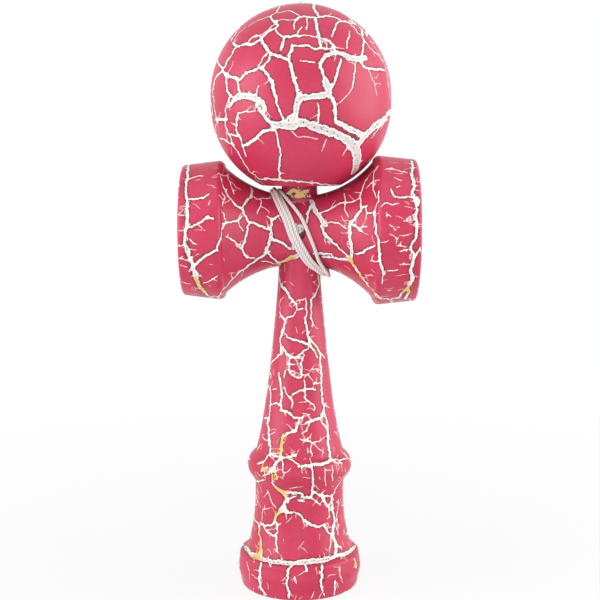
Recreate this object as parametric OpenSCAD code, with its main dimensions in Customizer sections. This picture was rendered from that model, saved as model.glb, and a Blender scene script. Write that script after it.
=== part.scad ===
// Kendama: a turned wooden spindle (ken) with a base cup and a spike, a crosspiece with two cups,
// and a ball that sits on the spike, tied to the crosspiece by a string wound round its waist.
// Frame: +Z up along the ken, X along the crosspiece with the big cup at +X, the string hole faces -Y.

/* [Ken] */
// Widest diameter of the base ring
base_d = 42.4; // [40:0.2:46]
// Height of the base ring up to its ledge
base_h = 12.2; // [10:0.2:15]
// Height at which the base ring is widest
base_wide_h = 6.6; // [5:0.2:8]
// Outer diameter of the flat ring that it stands on
foot_d = 37.6; // [35:0.2:39]
// Mouth diameter of the base cup
base_mouth_d = 33.2; // [28:0.2:34]
// Depth of the base cup
base_cup_depth = 7.4; // [4:0.2:9]
// Diameter of the stem where it meets the base ring
stem_foot_d = 36.2; // [33:0.2:37]
// Diameter of the narrow place below the collar
neck_d = 30.3; // [28:0.2:32]
// Height of the narrow place below the collar
neck_h = 32.6; // [28:0.2:35]
// Widest diameter of the collar
collar_d = 35.8; // [33:0.2:40]
// Height of the collar's middle
collar_z = 41.8; // [40:0.2:45]
// Height of the collar from crease to crease
collar_h = 10.8; // [8:0.2:12]
// Diameter of the stem just above the collar
stem_root_d = 29.8; // [27:0.2:31]
// Diameter of the stem half-way up
stem_mid_d = 21.4; // [19:0.2:23]
// Height of that half-way place
stem_mid_h = 71; // [66:1:76]
// Diameter of the stem where the taper for the crosspiece begins
taper_d = 14.4; // [13.6:0.1:15]
// Height where the taper for the crosspiece begins
taper_h = 105.6; // [100:0.2:108]
// Diameter of the spike's root, just above the crosspiece
spike_d = 12.2; // [11:0.1:12.8]
// Diameter of the rounded tip of the spike
tip_d = 3; // [2:0.1:4]

/* [Crosspiece] */
// Height of the crosspiece's axis above the standing face
cross_h = 122.6; // [120:0.1:124]
// Length of the crosspiece from rim to rim
cross_l = 78.2; // [76:0.2:86]
// Diameter of the crosspiece's waist
waist_d = 22.8; // [22:0.1:24]
// Radius of the hollow flank towards the big cup
big_flank_r = 32; // [31:0.2:38]
// Radius of the hollow flank towards the small cup
small_flank_r = 36.5; // [34:0.5:42]
// Diameter of the big cup at its shoulder
big_d = 50; // [47:0.2:52]
// Diameter of the big cup at its rim
big_rim_d = 47.6; // [46:0.2:50]
// Mouth diameter of the big cup
big_mouth_d = 41.6; // [38:0.2:43]
// Depth of the big cup
big_depth = 10; // [7:0.2:12]
// Diameter of the small cup at its shoulder
small_d = 46.6; // [44:0.2:48]
// Diameter of the small cup at its rim
small_rim_d = 43.8; // [42:0.2:45]
// Mouth diameter of the small cup
small_mouth_d = 37.8; // [35:0.2:39]
// Depth of the small cup
small_depth = 9; // [7:0.2:11]
// Rounding of the cups' outer rims
rim_r = 1.2; // [0.8:0.1:1.4]
// Rounding of the shoulders
shoulder_r = 1.4; // [1:0.1:2]
// Clearance of the crosspiece's bore on the taper
taper_fit = 0.04; // [0.02:0.01:0.1]

/* [Ball] */
// Diameter of the ball
ball_d = 60; // [58:0.5:61]
// Straight belt at the ball's equator, by which it is taller than wide
ball_belt = 2.6; // [1:0.2:4]
// Gap between the string's highest turns' seat on the waist and the ball's lowest ring
ball_rise = 3.7; // [3.6:0.05:6]
// Offset of the ball's axis from the spike's axis, towards the big cup
ball_x = 0.5; // [0:0.1:0.8]
// Diameter of the flat that the ball is cut off to, around its hole
ball_flat_d = 26.2; // [25.6:0.1:28]
// Rounding of the ball's lower edge
ball_edge_r = 1.6; // [1:0.1:2]
// Diameter of the spike hole
hole_d = 21; // [19:0.2:21.4]
// Depth of the spike hole as a share of the ball's diameter
hole_depth_share = 0.6833; // [0.66:0.0001:0.7]
// Clearance between the spike's tip and the end of the spike hole
tip_gap = 6.45; // [6:0.05:9]
// Bevel of the spike hole's mouth
hole_bevel = 2; // [1:0.1:2.2]
// Diameter of the bead seat above the spike hole
seat_d = 10; // [9:0.2:12]
// Height of the bead seat
seat_h = 9.2; // [8.8:0.1:10]
// Rounded lip of the string hole at the ball's top
lip_r = 1.75; // [1.6:0.05:2.5]
// Diameter of the bead
bead_d = 8.4; // [7:0.1:8.5]
// Clearance of the bead at its seat, and of the knots at what they stop against
seat_gap = 0.25; // [0.2:0.05:0.4]

/* [String] */
// Diameter of the string
string_d = 1.15; // [0.9:0.05:1.25]
// Clearance between the string's turns
string_gap = 0.5; // [0.45:0.01:0.6]
// Clearance of the string from the wood that it lies on
string_lift = 0.3; // [0.25:0.05:0.4]
// Number of turns round the crosspiece
turns = 4; // [2:1:4]
// Diameter of the string hole through the crosspiece and the ken
string_hole_d = 3.2; // [2.4:0.1:3.4]
// Diameter of the string hole's front mouth, which holds the stop knot
mouth_d = 6.2; // [5:0.1:6.6]
// Wood left between the mouth's floor and the taper
mouth_floor = 1.3; // [1:0.1:1.6]
// Sideways place of the string hole
string_hole_x = -1; // [-1.4:0.1:-0.6]
// Diameter of the stop knot in the crosspiece
knot_d = 3.6; // [3:0.1:4]
// Diameter of the knot under the bead
bead_knot_d = 3.4; // [2.6:0.1:3.6]

/* [Hidden] */
$fn = 96;
// Steps along a rounding and along a long curve of an outline
arc_steps = 8;
curve_steps = 12;
// Overrun of all cuts, and the least step between two points of an outline
overrun = 1;
least_step = 0.001;
// Height of the foot's rounding, rounding of the ledge and rise of the ledge towards the stem
foot_r = 1.5;
ledge_r = 1.2;
ledge_rise = 0.4;
// Radius of the base ring at its foot and at its ledge
foot_wall_share = 0.955;
ledge_wall_share = 0.975;
// Slopes of the ken's outline: change of radius over height
foot_slope_share = -0.3;
root_slope_share = -0.26;
mid_slope_share = -0.128;
taper_slope_share = -0.08;
spike_slope_share = -0.06;
tip_slope_share = -0.2;
// Depth of the flat on a knot where the string enters it
knot_flat_share = 0.8;
// Rings round each turn of the winding, and sides of its tube and of the free stretches
turn_rings = 24;
turn_sides = 6;
tube_sides = 8;
// Angles round the crosspiece, from the front upwards, at which the winding starts and ends
wind_start = 150;
wind_stop = -168;
// How much wider apart the leaning turns lie over the front and the back
lean_share = 0.3;
// Extra clearance of the winding from the ken, which its strands pass slantwise
lean_lift = 0.35;
// Angle below the ball's belt at which the string meets the ball, and rings of the free stretches
meet_a = 27;
lead_rings = 8;
free_rings = 12;
ball_rings = 18;
bore_rings = 6;
// Reach of the string's bends
lead_reach = 3.6;
free_reach = 9;
// Sideways place where the string meets the ball
meet_x = 2;

function unit(v) = v / norm(v);
function arc(c, r, a0, a1, n) =
    [for (i = [0:n]) c + r * [cos(a0 + (a1 - a0) * i / n), sin(a0 + (a1 - a0) * i / n)]];
// Radius over height as a smooth curve between two places with given slopes
function curve(r0, z0, s0, r1, z1, s1, n) =
    [for (i = [0:n])
        let (t = i / n, l = z1 - z0)
        [(2 * t * t * t - 3 * t * t + 1) * r0 + (t * t * t - 2 * t * t + t) * l * s0
         + (3 * t * t - 2 * t * t * t) * r1 + (t * t * t - t * t) * l * s1, z0 + l * t]];
// An outline without repeated points
function clean(p) = [for (i = [0:len(p) - 1]) if (i == 0 || norm(p[i] - p[i - 1]) > least_step) p[i]];
function bezier(a, b, c, d, n) =
    [for (i = [0:n])
        let (t = i / n, s = 1 - t)
        s * s * s * a + 3 * s * s * t * b + 3 * s * t * t * c + t * t * t * d];

// Ken: the base cup is part of a sphere
base_cup_r = (pow(base_mouth_d / 2, 2) + pow(base_cup_depth, 2)) / (2 * base_cup_depth);
base_cup_a = asin(base_mouth_d / 2 / base_cup_r);
wall_foot = base_d / 2 * foot_wall_share;
wall_ledge = base_d / 2 * ledge_wall_share;
foot_reach = wall_foot - foot_d / 2;
collar_top = collar_z + collar_h / 2;

// Crosspiece: its waist, flanks and the taper that it is wedged on
waist_r = waist_d / 2;
half_l = cross_l / 2;
spike_h = cross_h + waist_r + string_d;
taper_rate = (taper_d - spike_d) / 2 / (spike_h - taper_h);
function taper_r(z) = taper_d / 2 - taper_rate * (z - taper_h);
function flank(r, x) = waist_r + r - sqrt(r * r - x * x);
mouth_y = -(taper_r(cross_h) + mouth_floor);

// Ball: its lowest ring, the centres of its lower and upper half, the hole in steps and the spike's tip in it
ball_r = ball_d / 2;
ball_z = cross_h + waist_r + ball_rise;
ball_low = ball_z + sqrt(pow(ball_r, 2) - pow(ball_flat_d / 2, 2));
ball_high = ball_low + ball_belt;
edge_x = sqrt(pow(ball_r - ball_edge_r, 2) - pow(ball_low - ball_z - ball_edge_r, 2));
edge_a = -acos(edge_x / (ball_r - ball_edge_r));
string_bore_r = string_d / 2 + string_lift;
lip_x = string_bore_r + lip_r;
lip_z = ball_high + sqrt(pow(ball_r, 2) - pow(lip_x, 2)) - lip_r;
hole_top = ball_z + ball_d * hole_depth_share;
tip_z = hole_top - tip_gap - tip_d / 2;
seat_top = hole_top + seat_h;
bead_half = sqrt(pow(bead_d / 2, 2) - pow(string_bore_r, 2));
bead_z = seat_top - seat_gap - bead_half;
bead_knot_top = bead_z - bead_half - seat_gap;
knot_y = mouth_y - seat_gap;

// Winding: place of the string's middle line at angle a, with the turns side by side
strand_r = string_d / 2 + string_lift;
pitch = string_d + string_gap;
top_x = spike_d / 2 + strand_r + lean_lift;
low_x = taper_r(cross_h - waist_r) + strand_r + lean_lift;
lean_x = (top_x + low_x + (turns - 3 / 2) * pitch) / 2;
first_turn = turns - 1 / 4 - (lean_x - top_x) / pitch;
function spread(a) = pitch * (1 + lean_share * (1 - pow(sin(a), 4)));
back_x = string_hole_x + (first_turn - 1 / 2) * spread(180);
function wind_x(a) = -lean_x * sin(a) - back_x * cos(a) + (1 - a / 360 - first_turn) * spread(a);
function wind(a) =
    let (x = wind_x(a), r = flank(x < 0 ? small_flank_r : big_flank_r, x) + strand_r)
    [x, -r * cos(a), cross_h + r * sin(a)];
wind_end = wind_stop - 360 * (turns - 1);
wind_steps = ceil((wind_start - wind_end) / 360 * turn_rings);
wind_mid = [for (i = [0:wind_steps]) wind(wind_start + (wind_end - wind_start) * i / wind_steps)];
start_dir = unit(wind_mid[1] - wind_mid[0]);
end_dir = unit(wind_mid[wind_steps] - wind_mid[wind_steps - 1]);
wind_first = wind_mid[0] - string_d * start_dir;
wind_last = wind_mid[wind_steps] + string_d * end_dir;
wind_path = concat([wind_first], wind_mid, [wind_last]);

// Lead: from the stop knot straight through the hole, then round onto the winding
lead_out = [string_hole_x, waist_r - string_d, cross_h];
lead_in = [string_hole_x, knot_y, cross_h];
lead_path = concat(
    [for (i = [0:lead_rings - 1]) lead_in + (lead_out - lead_in) * i / lead_rings],
    bezier(lead_out, lead_out + [0, lead_reach, 0], wind_first - lead_reach * start_dir, wind_first, lead_rings));

// Run: from the winding up to the ball's back, over its top and down through its hole to the bead's knot
ride_r = ball_r + strand_r;
meet = [meet_x, ride_r * cos(meet_a), ball_low - ride_r * sin(meet_a)];
meet_dir = [0, sin(meet_a), cos(meet_a)];
crown_a = acos(lip_x / ride_r);
run_path = concat(
    bezier(wind_last, wind_last + free_reach * end_dir, meet - free_reach * meet_dir, meet, free_rings),
    [for (i = [1:ball_rings])
        let (a = -meet_a + (crown_a + meet_a) * i / ball_rings)
        [meet_x + (ball_x - meet_x) * i / ball_rings, ride_r * cos(a),
         (a < 0 ? ball_low : ball_high) + ride_r * sin(a)]],
    [for (i = [1:bore_rings])
        let (a = 90 + 90 * i / bore_rings)
        [ball_x, lip_x + lip_x * cos(a), lip_z + lip_x * sin(a)]],
    [for (i = [1:bore_rings]) [ball_x, 0, lip_z + (bead_knot_top - lip_z) * i / bore_rings]]);

// Frames carried along a path without twist, and a tube swept along it
function run_dir(p, i) = unit(p[min(i + 1, len(p) - 1)] - p[max(i - 1, 0)]);
function across(v, d) = unit(v - (v * d) * d);
function sides_of(p) =
    [for (i = 0, v = across([1, 0.3, 0.2], run_dir(p, 0)); i < len(p);
          i = i + 1, v = i < len(p) ? across(v, run_dir(p, i)) : v) v];
module tube(p, d, n) {
    side = sides_of(p);
    last = len(p) - 1;
    points = [for (i = [0:last], k = [0:n - 1])
        let (t = run_dir(p, i), v = side[i], w = cross(t, v), a = 360 * k / n)
        p[i] + d / 2 * (cos(a) * v + sin(a) * w)];
    walls = [for (i = [0:last - 1], k = [0:n - 1])
        let (a = i * n + k, b = i * n + (k + 1) % n)
        each [[a, a + n, b], [b, a + n, b + n]]];
    ends = [for (k = [1:n - 2]) each [[0, k, k + 1], [last * n, last * n + k + 1, last * n + k]]];
    polyhedron(points, concat(walls, ends));
}

// Least gap of the winding to itself, measured from points to stretches more than half a turn away
function to_stretch(p, a, b) =
    let (t = max(0, min(1, (p - a) * (b - a) / ((b - a) * (b - a)))))
    norm(p - a - t * (b - a));
function least_gap(p, apart, d) =
    min([for (i = [0:len(p) - 1], j = [i + apart:1:len(p) - 2]) to_stretch(p[i], p[j], p[j + 1])]) - d;
echo(string_winding_least_gap = least_gap(wind_path, turn_rings / 2, string_d));

module ken() {
    color("crimson")
    difference() {
        rotate_extrude()
        polygon(clean(concat(
            arc([0, base_cup_depth - base_cup_r], base_cup_r, 90, 90 - base_cup_a, arc_steps),
            [for (i = [0:arc_steps])
                [foot_d / 2 + foot_reach * sin(90 * i / arc_steps), foot_r * (1 - cos(90 * i / arc_steps))]],
            curve(wall_foot, foot_r, 0, base_d / 2, base_wide_h, 0, arc_steps),
            curve(base_d / 2, base_wide_h, 0, wall_ledge, base_h - ledge_r, 0, arc_steps),
            arc([wall_ledge - ledge_r, base_h - ledge_r], ledge_r, 0, 90, arc_steps),
            curve(stem_foot_d / 2, base_h + ledge_rise, foot_slope_share, neck_d / 2, neck_h, 0, curve_steps),
            [for (i = [0:2 * curve_steps])
                let (a = 90 * i / curve_steps, r = (i < curve_steps ? neck_d : stem_root_d) / 2)
                [r + (collar_d / 2 - r) * sin(a), collar_z - collar_h / 2 * cos(a)]],
            curve(stem_root_d / 2, collar_top, root_slope_share,
                  stem_mid_d / 2, stem_mid_h, mid_slope_share, curve_steps),
            curve(stem_mid_d / 2, stem_mid_h, mid_slope_share,
                  taper_d / 2, taper_h, taper_slope_share, curve_steps),
            curve(spike_d / 2, spike_h, spike_slope_share, tip_d / 2, tip_z, tip_slope_share, curve_steps),
            arc([0, tip_z], tip_d / 2, 0, 90, arc_steps))));
        string_hole();
    }
}

// The straight hole for the string, from the front mouth out at the back
module string_hole() {
    translate([string_hole_x, 0, cross_h])
    rotate([90, 0, 0])
    cylinder(d = string_hole_d, h = big_d, center = true);
}

// Half of the crosspiece's outline, from the bottom of its cup round to its waist
function cup_half(flank_r, d, rim_d, mouth, depth) =
    let (bowl_r = (pow(mouth / 2, 2) + depth * depth) / (2 * depth),
         mouth_a = asin(mouth / 2 / bowl_r),
         end_r = d / 2 - shoulder_r,
         end_x = sqrt(pow(flank_r, 2) - pow(waist_r + flank_r - end_r, 2)))
    concat(
        arc([0, half_l - depth + bowl_r], bowl_r, -90, mouth_a - 90, arc_steps),
        arc([rim_d / 2 - rim_r, half_l - rim_r], rim_r, 90, 0, arc_steps),
        arc([end_r, end_x + shoulder_r], shoulder_r, 0, -60, arc_steps),
        [for (i = [curve_steps:-1:0])
            let (x = end_x * i / curve_steps)
            [flank(flank_r, x), x]]);
function flip(p) = [for (i = [len(p) - 1:-1:0]) [p[i][0], -p[i][1]]];

module sarado() {
    color("crimson")
    difference() {
        translate([0, 0, cross_h])
        rotate([0, 90, 0])
        rotate_extrude()
        polygon(clean(concat(
            cup_half(big_flank_r, big_d, big_rim_d, big_mouth_d, big_depth),
            flip(cup_half(small_flank_r, small_d, small_rim_d, small_mouth_d, small_depth)))));
        translate([0, 0, cross_h - waist_r - overrun])
        cylinder(r1 = taper_r(cross_h - waist_r - overrun) + taper_fit,
                 r2 = taper_r(cross_h + waist_r + overrun) + taper_fit,
                 h = waist_d + 2 * overrun);
        string_hole();
        translate([string_hole_x, mouth_y, cross_h])
        rotate([90, 0, 0])
        cylinder(d = mouth_d, h = waist_r);
    }
}

module ball() {
    color("crimson")
    translate([ball_x, 0, 0])
    rotate_extrude()
    polygon(clean(concat(
        [[hole_d / 2, hole_top], [hole_d / 2, ball_z + hole_bevel], [hole_d / 2 + hole_bevel, ball_z]],
        arc([edge_x, ball_z + ball_edge_r], ball_edge_r, -90, edge_a, arc_steps),
        arc([0, ball_low], ball_r, edge_a, 0, 2 * curve_steps),
        arc([0, ball_high], ball_r, 0, acos(lip_x / ball_r), 2 * curve_steps),
        arc([lip_x, lip_z], lip_r, 90, 180, arc_steps),
        [[string_bore_r, seat_top], [seat_d / 2, seat_top], [seat_d / 2, hole_top]])));
}

module bead() {
    color("burlywood")
    translate([ball_x, 0, bead_z])
    difference() {
        sphere(d = bead_d);
        cylinder(r = string_bore_r, h = bead_d + overrun, center = true);
    }
}

// A knot as a round lump with a flat where the string enters it, facing +Z
module knot(d) {
    color("ivory")
    difference() {
        translate([0, 0, -d / 2 * knot_flat_share])
        sphere(d = d);
        translate([0, 0, d / 2])
        cube(d, center = true);
    }
}

module sarado_knot() {
    translate(lead_in)
    rotate([-90, 0, 0])
    knot(knot_d);
}

module bead_knot() {
    translate([ball_x, 0, bead_knot_top])
    knot(bead_knot_d);
}

module string_lead() {
    color("ivory")
    tube(lead_path, string_d, tube_sides);
}

module string_winding() {
    color("ivory")
    tube(wind_path, string_d, turn_sides);
}

module string_ball_run() {
    color("ivory")
    tube(run_path, string_d, tube_sides);
}

ken();
sarado();
ball();
bead();
sarado_knot();
bead_knot();
string_lead();
string_winding();
string_ball_run();
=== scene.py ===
import math
import random

import bmesh
import bpy
import numpy as np
from bpy.props import FloatProperty, FloatVectorProperty, IntProperty, PointerProperty
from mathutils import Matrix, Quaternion, Vector, noise
from mathutils.bvhtree import BVHTree
from mathutils.kdtree import KDTree


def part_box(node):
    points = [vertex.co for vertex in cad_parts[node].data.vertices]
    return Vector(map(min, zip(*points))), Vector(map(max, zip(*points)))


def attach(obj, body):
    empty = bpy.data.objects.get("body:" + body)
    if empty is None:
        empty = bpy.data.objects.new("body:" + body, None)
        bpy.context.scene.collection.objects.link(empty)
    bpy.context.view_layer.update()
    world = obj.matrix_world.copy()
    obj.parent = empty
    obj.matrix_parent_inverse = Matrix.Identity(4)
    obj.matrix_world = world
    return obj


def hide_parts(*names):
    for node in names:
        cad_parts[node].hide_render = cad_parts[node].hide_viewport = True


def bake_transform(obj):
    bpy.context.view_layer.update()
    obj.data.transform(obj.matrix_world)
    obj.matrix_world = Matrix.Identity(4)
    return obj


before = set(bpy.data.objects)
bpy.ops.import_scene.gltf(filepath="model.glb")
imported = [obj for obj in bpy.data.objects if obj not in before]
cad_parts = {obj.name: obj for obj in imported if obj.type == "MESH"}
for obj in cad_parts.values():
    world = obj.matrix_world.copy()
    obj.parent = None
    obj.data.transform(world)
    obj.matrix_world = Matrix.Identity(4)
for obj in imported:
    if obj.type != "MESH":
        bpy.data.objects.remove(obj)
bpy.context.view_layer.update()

bl_info = {
    "name": "Kendama with crackle lacquer",
    "version": (1, 0, 0),
    "blender": (4, 5, 0),
    "location": "View3D > Sidebar > Kendama",
    "description": "Turned ken, crosspiece and ball under crackled lacquer, with a wound string",
    "category": "Object",
}

MM = 0.001
# Side of the photo in pixels
PHOTO_SIZE = 600
# Points that are nearer to each other than this count as one place
CLOSE = 1e-6


def size(name, description, mm):
    """A length that a user would change, given in millimetres."""
    return FloatProperty(name=name, description=description, default=mm * MM, min=0, unit="LENGTH")


def coordinate(name, description, mm):
    """A coordinate that a user would change, given in millimetres."""
    return FloatProperty(name=name, description=description, default=mm * MM, unit="LENGTH")


def number(name, description, value):
    """A slope, as a change of radius over height, or a share that a user would change."""
    return FloatProperty(name=name, description=description, default=value)


def linear(hex_colour):
    """The linear colour of an sRGB hex value."""
    values = [int(hex_colour[i:i + 2], 16) / 255 for i in (1, 3, 5)]
    return [v / 12.92 if v <= 0.04045 else ((v + 0.055) / 1.055) ** 2.4 for v in values]


def colour(name, description, hex_colour):
    """A colour that a user would change, given as an sRGB hex value."""
    return FloatVectorProperty(name=name, description=description, subtype="COLOR", size=4, min=0, max=1,
                               default=linear(hex_colour) + [1])


class KenSizes(bpy.types.PropertyGroup):
    base_d: size("Base", "Widest diameter of the base ring", 42.4)
    base_h: size("Base height", "Height of the base ring up to its ledge", 12.2)
    base_wide_h: size("Widest height", "Height at which the base ring is widest", 6.6)
    foot_d: size("Foot", "Outer diameter of the ring that it stands on", 37.6)
    mouth_d: size("Base cup", "Mouth diameter of the base cup", 33.2)
    cup_depth: size("Base cup depth", "Depth of the base cup", 7.4)
    foot_r: size("Foot rounding", "Height of the foot's rounding", 1.5)
    ledge_r: size("Ledge rounding", "Rounding of the ledge", 1.2)
    ledge_rise: size("Ledge rise", "Rise of the ledge towards the stem", 0.4)
    stem_foot_d: size("Stem foot", "Diameter of the stem where it meets the base ring", 36.2)
    neck_d: size("Neck", "Diameter of the narrow place below the collar", 30.3)
    neck_h: size("Neck height", "Height of the narrow place below the collar", 32.6)
    collar_d: size("Collar", "Widest diameter of the collar", 35.8)
    collar_z: size("Collar place", "Height of the collar's middle", 41.8)
    collar_h: size("Collar height", "Height of the collar from crease to crease", 10.8)
    root_d: size("Stem root", "Diameter of the stem just above the collar", 29.8)
    mid_d: size("Stem middle", "Diameter of the stem half-way up", 21.4)
    mid_h: size("Stem middle height", "Height of that half-way place", 71)
    taper_d: size("Taper", "Diameter where the taper for the crosspiece begins", 14.4)
    taper_h: size("Taper height", "Height where the taper for the crosspiece begins", 105.6)
    spike_d: size("Spike", "Diameter of the spike's root", 12.2)
    spike_h: size("Spike height", "Height of the spike's root", 135.15)
    tip_d: size("Tip", "Diameter of the spike's rounded tip", 3)
    foot_wall: number("Foot wall", "Radius above the foot, as a share of the base ring's widest", 0.955)
    ledge_wall: number("Ledge wall", "Radius below the ledge, as a share of the base ring's widest", 0.975)
    foot_slope: number("Foot slope", "Slope of the stem at its foot", -0.3)
    collar_rise: number("Collar rise", "Slope of the collar at its lower crease", 0.2)
    collar_fall: number("Collar fall", "Slope of the collar at its upper crease", -1.5)
    root_slope: number("Root slope", "Slope of the stem above the collar", -0.26)
    mid_slope: number("Middle slope", "Slope of the stem half-way up", -0.128)
    taper_slope: number("Taper slope", "Slope of the stem where the taper begins", -0.08)
    spike_slope: number("Spike slope", "Slope of the spike at its root", -0.06)
    tip_slope: number("Tip slope", "Slope of the spike at its tip", -0.2)


class CrosspieceSizes(bpy.types.PropertyGroup):
    axis_h: size("Axis", "Height of the crosspiece's axis", 122.6)
    length: size("Length", "Length from rim to rim", 78.2)
    waist_d: size("Waist", "Diameter of the waist", 22.8)
    big_flank_r: size("Big flank", "Radius of the hollow flank towards the big cup", 32)
    small_flank_r: size("Small flank", "Radius of the hollow flank towards the small cup", 36.5)
    big_d: size("Big cup", "Diameter of the big cup at its shoulder", 50)
    big_rim_d: size("Big rim", "Diameter of the big cup at its rim", 47.6)
    big_mouth_d: size("Big mouth", "Mouth diameter of the big cup", 41.6)
    big_depth: size("Big depth", "Depth of the big cup", 10)
    small_d: size("Small cup", "Diameter of the small cup at its shoulder", 46.6)
    small_rim_d: size("Small rim", "Diameter of the small cup at its rim", 43.8)
    small_mouth_d: size("Small mouth", "Mouth diameter of the small cup", 37.8)
    small_depth: size("Small depth", "Depth of the small cup", 9)
    rim_r: size("Rim rounding", "Rounding of the cups' outer rims", 1.2)
    shoulder_r: size("Shoulder rounding", "Rounding of the shoulders", 2.2)
    fit: size("Fit", "Clearance of the bore on the ken's taper", 0.04)
    hole_x: coordinate("String hole", "Sideways place of the string hole", -1)
    hole_d: size("Hole", "Diameter of the string hole", 3.2)
    mouth_d: size("Hole mouth", "Diameter of the string hole's front mouth", 6.2)
    mouth_y: coordinate("Mouth floor", "Place of the front mouth's floor", -7.867)


class BallSizes(bpy.types.PropertyGroup):
    diameter: size("Ball", "Diameter of the ball", 60)
    belt: size("Belt", "Straight belt by which the ball is taller than wide", 2.6)
    low: size("Lowest ring", "Height of the ball's lowest ring", 137.7)
    x: coordinate("Axis", "Offset of the ball's axis towards the big cup", 0.5)
    flat_d: size("Flat", "Diameter of the flat around the hole", 26.2)
    edge_r: size("Lower edge", "Rounding of the lower edge", 1.6)
    hole_d: size("Spike hole", "Diameter of the spike hole", 21)
    hole_depth: size("Hole depth", "Depth of the spike hole", 40.998)
    bevel: size("Bevel", "Bevel of the spike hole's mouth", 2)
    seat_d: size("Bead seat", "Diameter of the bead seat", 10)
    seat_h: size("Seat height", "Height of the bead seat", 9.2)
    bore_r: size("String bore", "Radius of the string's bore at the top", 0.875)
    lip_r: size("Lip", "Rounding of the string bore's lip", 1.75)


class StringSizes(bpy.types.PropertyGroup):
    diameter: size("String", "Diameter of the string", 1.15)
    lift: size("Lift", "Clearance of the string from the wood", 0.12)
    turns: IntProperty(name="Turns", description="Number of turns round the crosspiece", default=4, min=1)
    lay: size("Lay", "Length of one turn of the string's plies", 3.4)
    plies: IntProperty(name="Plies", description="Number of plies twisted together", default=3, min=2)
    loose: size("Loose strand", "How far the last strand lies off the bundle at the front", 2.7)
    knot_d: size("Knot", "Diameter of the stop knot in the crosspiece", 4.2)
    knot_x: size("Knot aside", "How far the stop knot lies to the right of its hole's middle", 0.7)
    knot_z: size("Knot up", "How far the stop knot lies above its hole's middle", 1.3)
    bead_knot_d: size("Bead knot", "Diameter of the knot under the bead", 3.4)
    bead_knot_z: size("Bead knot place", "Height of the bead knot's top", 179.182)


class Finish(bpy.types.PropertyGroup):
    red: colour("Red", "The lacquer's red", "#CC385B")
    deep_red: colour("Deep red", "The lacquer where it lies thicker", "#BF2C4C")
    ground: colour("Ground", "The white ground that shows in the cracks", "#FCF6F1")
    grey: colour("Grey ground", "The ground where a wide crack is rubbed", "#DAD3D0")
    # Painted shade along the film's torn edges by wide cracks, and the real dark colour of crumbs of film
    edge: colour("Edge", "The lacquer along its torn edges and in crumbs", "#6E152F")
    stain: colour("Stain", "The ground where varnish has yellowed it", "#E8C67E")
    cotton: colour("Cotton", "The string's yarn", "#F7F3F1")
    # Painted shade in the grooves between the plies, and the darker tone of the fibres
    cotton_fibre_and_groove_shade: colour("Cotton shade", "The yarn between its fibres", "#D6CBC9")
    beech: colour("Beech", "The bead's wood", "#C99B67")
    beech_grain: colour("Beech grain", "The grain of the bead's wood", "#9C6B3E")
    floor: colour("Floor", "The floor's colour", "#F4F4F4")


class Stage(bpy.types.PropertyGroup):
    camera_x: coordinate("Camera X", "Sideways place of the camera", 0.2)
    camera_y: coordinate("Camera Y", "Place of the camera before the kendama", -400)
    camera_z: coordinate("Camera Z", "Height of the camera", 148)
    pitch: FloatProperty(name="Pitch", description="Angle of the camera below the horizon",
                         default=math.radians(7), unit="ROTATION")
    focal: FloatProperty(name="Focal length", description="Focal length in pixels of the photo", default=1186)
    sky: FloatProperty(name="Sky", description="Strength of the even light from all round", default=0.36)
    floor: size("Floor", "Side of the floor", 4000)


class KendamaSettings(bpy.types.PropertyGroup):
    ken: PointerProperty(type=KenSizes)
    crosspiece: PointerProperty(type=CrosspieceSizes)
    ball: PointerProperty(type=BallSizes)
    string: PointerProperty(type=StringSizes)
    finish: PointerProperty(type=Finish)
    stage: PointerProperty(type=Stage)


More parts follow.
